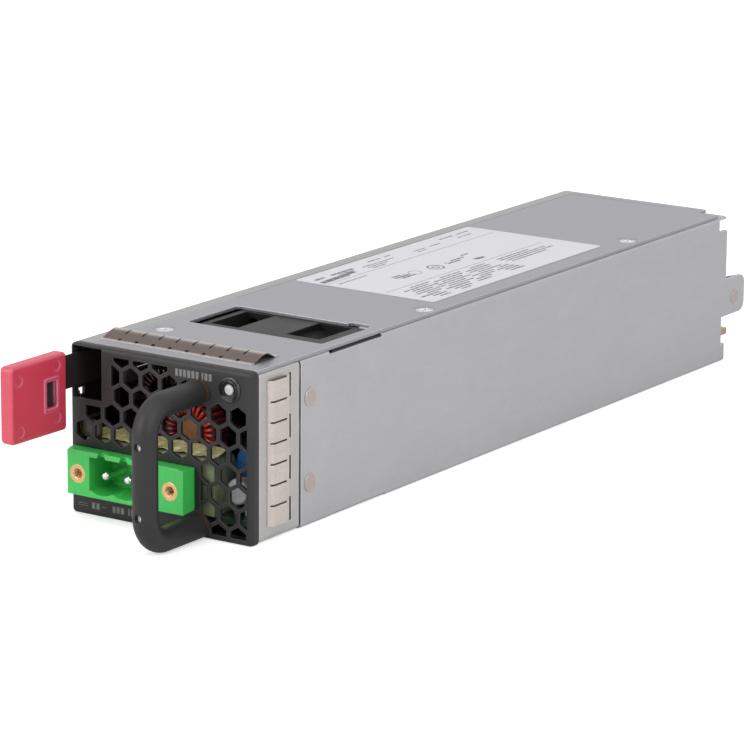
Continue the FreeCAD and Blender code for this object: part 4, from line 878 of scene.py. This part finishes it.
def green_socket():
    # Open-fronted housing with tapered ends, valleys under the pins and key slots above them.
    outer = block(SOCKET_LEFT, SOCKET_RIGHT, SOCKET_FRONT, -0.05, SOCKET_LOW, SOCKET_HIGH)
    front = at(0, -3, 0).y
    shift(outer, lambda v: v.co.y > front and v.co.x < 0, x=-2.2)
    shift(outer, lambda v: v.co.y > front and v.co.x > 0, x=-0.75)
    shift(outer, lambda v: v.co.y > front and v.co.z > 10 * MM, z=-0.75)
    body = block(-22.6, 9.35, -0.15, 5.6, SOCKET_LOW, 16.0)
    combine(outer, [body], "UNION")
    combine(outer, [block(RECESS_LEFT, RECESS_RIGHT, -7, RECESS_BACK, 7.7, 15.6)])
    scallops = []
    for x in POLES:
        valley = block(x - 3.1, x + 3.1, -8, 3.3, 6, 8.5)
        dip = combine(rod(x, -7, RECESS_BACK, 13.8, 6.8, 96), [valley], "INTERSECT")
        scallops.append(dip)
    for dip in scallops:
        combine(outer, [dip])
    for x in POLES:
        slot = block(x - 1.4, x + 1.4, -7, -3.6, 15.3, 17.5)
        shift(slot, lambda v: v.co.z > 16 * MM and v.co.x / MM > x, x=-0.95)
        shift(slot, lambda v: v.co.z > 16 * MM and v.co.x / MM < x, x=0.95)
        combine(outer, [slot])
    combine(outer, [block(-25.5, -21.2, -6, -0.3, 16.5, 17.5), block(8.9, 11.5, -6, -0.3, 16.5, 17.5)])
    combine(outer, [rod(x, -6, 2.7, INSERT_Z, INSERT_RADIUS) for x in INSERT_XS])
    combine(outer, [block(-22.2, 9.2, 1.6, 5.6, 4.9, 6.25)], "UNION")
    return smooth(outer, 25)


socket = settle(green_socket(), "green_socket_body", green_plastic)
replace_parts(socket, "terminal_housing")


THREAD_TURNS = 14
THREAD_PITCH = 0.42
THREAD_FRONT = -5.0
MOUTH_REACH = 1.32
MOUTH_STEP = 0.05
MOUTH_TURNS = 5


def thread_turns(x, z):
    # Turns of the thread inside a brass insert, wider at the countersunk mouth.
    turns = []
    for k in range(THREAD_TURNS):
        pick_nothing()
        bpy.ops.mesh.primitive_torus_add(major_segments=28, minor_segments=8, major_radius=1.0,
                                         minor_radius=0.2, location=(0, 0, 0))
        ring = bpy.context.object
        reach = MOUTH_REACH - MOUTH_STEP * min(k, MOUTH_TURNS)
        size = Matrix.Diagonal((reach * MM, reach * MM, MM, 1))
        upright = Matrix.Rotation(math.pi / 2, 4, "X")
        ring.data.transform(Matrix.Translation(at(x, THREAD_FRONT + THREAD_PITCH * k, z)) @ upright @ size)
        turns.append(ring)
    return turns


threads = smooth_all(join(thread_turns(INSERT_XS[0], INSERT_Z) + thread_turns(INSERT_XS[1], INSERT_Z)))
settle(threads, "insert_threads", thread_brass_painted_light)


TAPE_LONG = 35.0
TAPE_WIDE = 7.4
TAPE_THICK = 0.08


def tape_sheet_piece():
    # Loose top layer of the tape, creased; its pale, bright yellow is painted light, the lit top of the
    # tape.
    pick_nothing()
    bpy.ops.mesh.primitive_grid_add(x_subdivisions=40, y_subdivisions=12, size=1, location=(0, 0, 0))
    sheet = bpy.context.object
    sheet.data.transform(Matrix.Diagonal((TAPE_LONG * MM, TAPE_WIDE * MM, 1, 1)))
    for vertex in sheet.data.vertices:
        x = vertex.co.x / MM
        y = vertex.co.y / MM
        crease = 0.32 * math.sin(1.1 * x + 0.7 * y) + 0.22 * math.sin(2.3 * x - 1.3 * y)
        crease += 0.14 * math.sin(3.7 * y + x)
        vertex.co.z = (0.5 + crease * 0.6 + 0.05 * (y + TAPE_WIDE / 2)) * MM
    bpy.ops.object.modifier_add(type="SOLIDIFY")
    sheet.modifiers[-1].thickness = TAPE_THICK * MM
    bpy.ops.object.modifier_apply(modifier=sheet.modifiers[-1].name)
    sheet.data.transform(Matrix.Translation(at(-4.4, 5.7, 17.95)))
    return sheet


settle(tape_sheet_piece(), "loose_tape_sheet_painted_light", tape_sheet_painted_light)
# The left fold takes the darker copy of the tape, painted shade.
LEFT_FOLD = ((-24.2, -18.2, 1.9, 2.3, 17.9, 22.2), (-24.2, -22.6, 2.3, 8.0, 21.8, 22.2))
slabs("left_tape_fold", LEFT_FOLD, tape_painted_shade)


FLANGE_FRONT = -0.4
LENS_FRONT = -0.85
LENS_RADIUS = 1.39


def status_light():
    flange = rod(LED_X, FLANGE_FRONT, 0.05, LED_Z, 2.9)
    edge = at(0, FLANGE_FRONT, 0).y
    corners = flange.data.vertices
    soften(flange, 0.22, 3, lambda e: max(corners[i].co.y for i in e.vertices) < edge + 0.01 * MM)
    combine(flange, [rod(LED_X, -0.6, -0.3, LED_Z, 2.0)], "UNION")
    combine(flange, [rod(LED_X, 0, 3.4, LED_Z, 2.1)], "UNION")
    combine(flange, [rod(LED_X, -2, 4, LED_Z, 1.42)])
    return smooth(flange, 30)


def status_lens():
    dome = rod(LED_X, LENS_FRONT, 4.4, LED_Z, LENS_RADIUS, 40)
    limit = at(0, LENS_FRONT, 0).y + 0.01 * MM
    corners = dome.data.vertices
    soften(dome, 1.0, 7, lambda e: max(corners[i].co.y for i in e.vertices) < limit, shade=60)
    return dome


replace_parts(settle(status_light(), "status_light_bezel", gloss_black), "led_bezel")
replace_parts(settle(status_lens(), "status_light_lens", lens_clear), "led_lens")


# Fan housing with a flange and sunk pockets under the cover's window
FAN_X = 5.45
FAN_Z = 19.8
FAN_POCKETS = ((-12.9, -5.0, 36.6, 51.0), (7.7, 17.0, 37.9, 51.3))
SCREW_REACH = 16.4
DUCT_RADIUS = 17.3
HUB_FRONT = 50.4
HOUSING_BACK = 52.2


def fan_housing():
    body = block(-13.55, 24.45, 32.2, HOUSING_BACK, 0.8, 38.8)
    combine(body, [block(-14.7, 24.4, 32.25, 53.0, 36.9, 39.1)], "UNION")
    combine(body, [rod(FAN_X, 31, 54, FAN_Z, DUCT_RADIUS, 96)])
    pockets = []
    for x0, x1, y0, y1 in FAN_POCKETS:
        pocket = block(x0, x1, y0, y1, 34.9, 39.5)
        inner = x1 if x0 < 0 else x0
        shift(pocket, lambda v: v.co.z < 36 * MM and abs(v.co.x / MM - inner) < 0.1, z=2.7)
        pockets.append(pocket)
    for pocket in pockets:
        combine(body, [pocket])
    screws = [rod(FAN_X + sx * SCREW_REACH, 31, 54, FAN_Z + sz * SCREW_REACH, 1.6)
              for sx in (-1, 1) for sz in (-1, 1)]
    combine(body, screws)
    struts = []
    for k in range(4):
        strut = block(7.8, 17.6, HUB_FRONT, HOUSING_BACK, -0.8, 0.8)
        spin = Matrix.Rotation(math.radians(45 + 90 * k), 4, "Y")
        strut.data.transform(Matrix.Translation(Vector((FAN_X * MM, 0, FAN_Z * MM))) @ spin)
        struts.append(strut)
    for strut in struts:
        combine(body, [strut], "UNION")
    hub = rod(FAN_X, HUB_FRONT, HOUSING_BACK, FAN_Z, 8.8)
    combine(hub, [rod(FAN_X, 37.2, 50.6, FAN_Z, 3.6)], "UNION")
    combine(hub, [rod(FAN_X, 36, 51.0, FAN_Z, 2.8)])
    combine(body, [hub], "UNION")
    return smooth(body, 30)


housing = settle(fan_housing(), "fan_housing", fan_plastic)
housing.data.materials.append(pocket_painted_shade)
# Faces in the pockets take the near-black copy of the fan's plastic: painted shade that deepens the pockets.
for face in housing.data.polygons:
    px, py, pz = case_point(face.center)
    over = any(x0 - 0.1 < px < x1 + 0.1 and y0 - 0.1 < py < y1 + 0.1 for x0, x1, y0, y1 in FAN_POCKETS)
    if over and 34.5 < pz < 39.05:
        face.material_index = 1
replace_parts(housing, "fan_frame")


# Stage, light and camera
pick_nothing()
bpy.ops.mesh.primitive_plane_add(size=6, location=(0, 0, 0))
floor = bpy.context.object
floor.name = "studio_floor"
floor_paint, tree, shader = blank_material("pale_floor")
fine = place_group(tree, GRAIN, Grain_Scale=200.0, Cloud_Scale=2.0)
tree.links.new(tone_ramp(tree, fine.outputs["Cloud"], (0.86, 0.86, 0.86), (0.88, 0.88, 0.88)),
               shader.inputs["Base Color"])
shader.inputs["Roughness"].default_value = 0.9
shader.inputs["Emission Color"].default_value = (1, 1, 1, 1)
path = node(tree, "ShaderNodeLightPath")
seen = math_node(tree, "MAXIMUM", path.outputs["Is Camera Ray"], path.outputs["Is Transmission Ray"])
tree.links.new(math_node(tree, "MULTIPLY", seen, 0.45), shader.inputs["Emission Strength"])
floor.data.materials.append(floor_paint)

world = bpy.data.worlds.new("studio")
bpy.context.scene.world = world
world.use_nodes = True
tree = world.node_tree
background = tree.nodes["Background"]
path = node(tree, "ShaderNodeLightPath")
seen = math_node(tree, "MAXIMUM", path.outputs["Is Camera Ray"], path.outputs["Is Glossy Ray"])
seen = math_node(tree, "MAXIMUM", seen, path.outputs["Is Transmission Ray"])
strength = math_node(tree, "ADD", math_node(tree, "MULTIPLY", seen, 0.3), 0.7)
background.inputs["Color"].default_value = (1, 1, 1, 1)
tree.links.new(strength, background.inputs["Strength"])


def soft_lamp(name, place, aim, size, power):
    data = bpy.data.lights.new(name, "AREA")
    data.shape = "RECTANGLE"
    data.size, data.size_y = size
    data.energy = power
    lamp = bpy.data.objects.new(name, data)
    bpy.context.scene.collection.objects.link(lamp)
    lamp.location = place
    lamp.rotation_euler = (Vector(aim) - Vector(place)).to_track_quat("-Z", "Y").to_euler()
    return lamp


soft_lamp("right_window", (0.9, -0.35, 0.55), (0, 0, 0.02), (0.7, 0.5), 3.8)
soft_lamp("top_window", (0.1, -0.35, 1.0), (0, 0, 0.02), (0.9, 0.9), 2.6)
soft_lamp("front_window", (-0.35, -0.9, 0.45), (0, -0.1, 0.02), (0.5, 0.4), 4.0)

# Camera fitted to the photo's edges
CAMERA_PLACE = (519.312, -687.080, 251.830)
CAMERA_LENS = 191.572
azimuth = math.radians(33.918)
height = math.radians(14.038)
roll = math.radians(0.417)
level = math.cos(height)
back = Vector((math.sin(azimuth) * level, -math.cos(azimuth) * level, math.sin(height)))
right = Vector((math.cos(azimuth), math.sin(azimuth), 0))
up = back.cross(right)
right_rolled = right * math.cos(roll) + up * math.sin(roll)
up_rolled = up * math.cos(roll) - right * math.sin(roll)
camera_data = bpy.data.cameras.new("photo_camera")
camera_data.sensor_width = 36
camera_data.lens = CAMERA_LENS
camera_data.clip_end = 20
camera = bpy.data.objects.new("photo_camera", camera_data)
bpy.context.scene.collection.objects.link(camera)
turn = Matrix((right_rolled, up_rolled, back)).transposed().to_4x4()
camera.matrix_world = Matrix.Translation(at(*CAMERA_PLACE)) @ turn
bpy.context.scene.camera = camera
bpy.context.scene.view_settings.view_transform = "Standard"
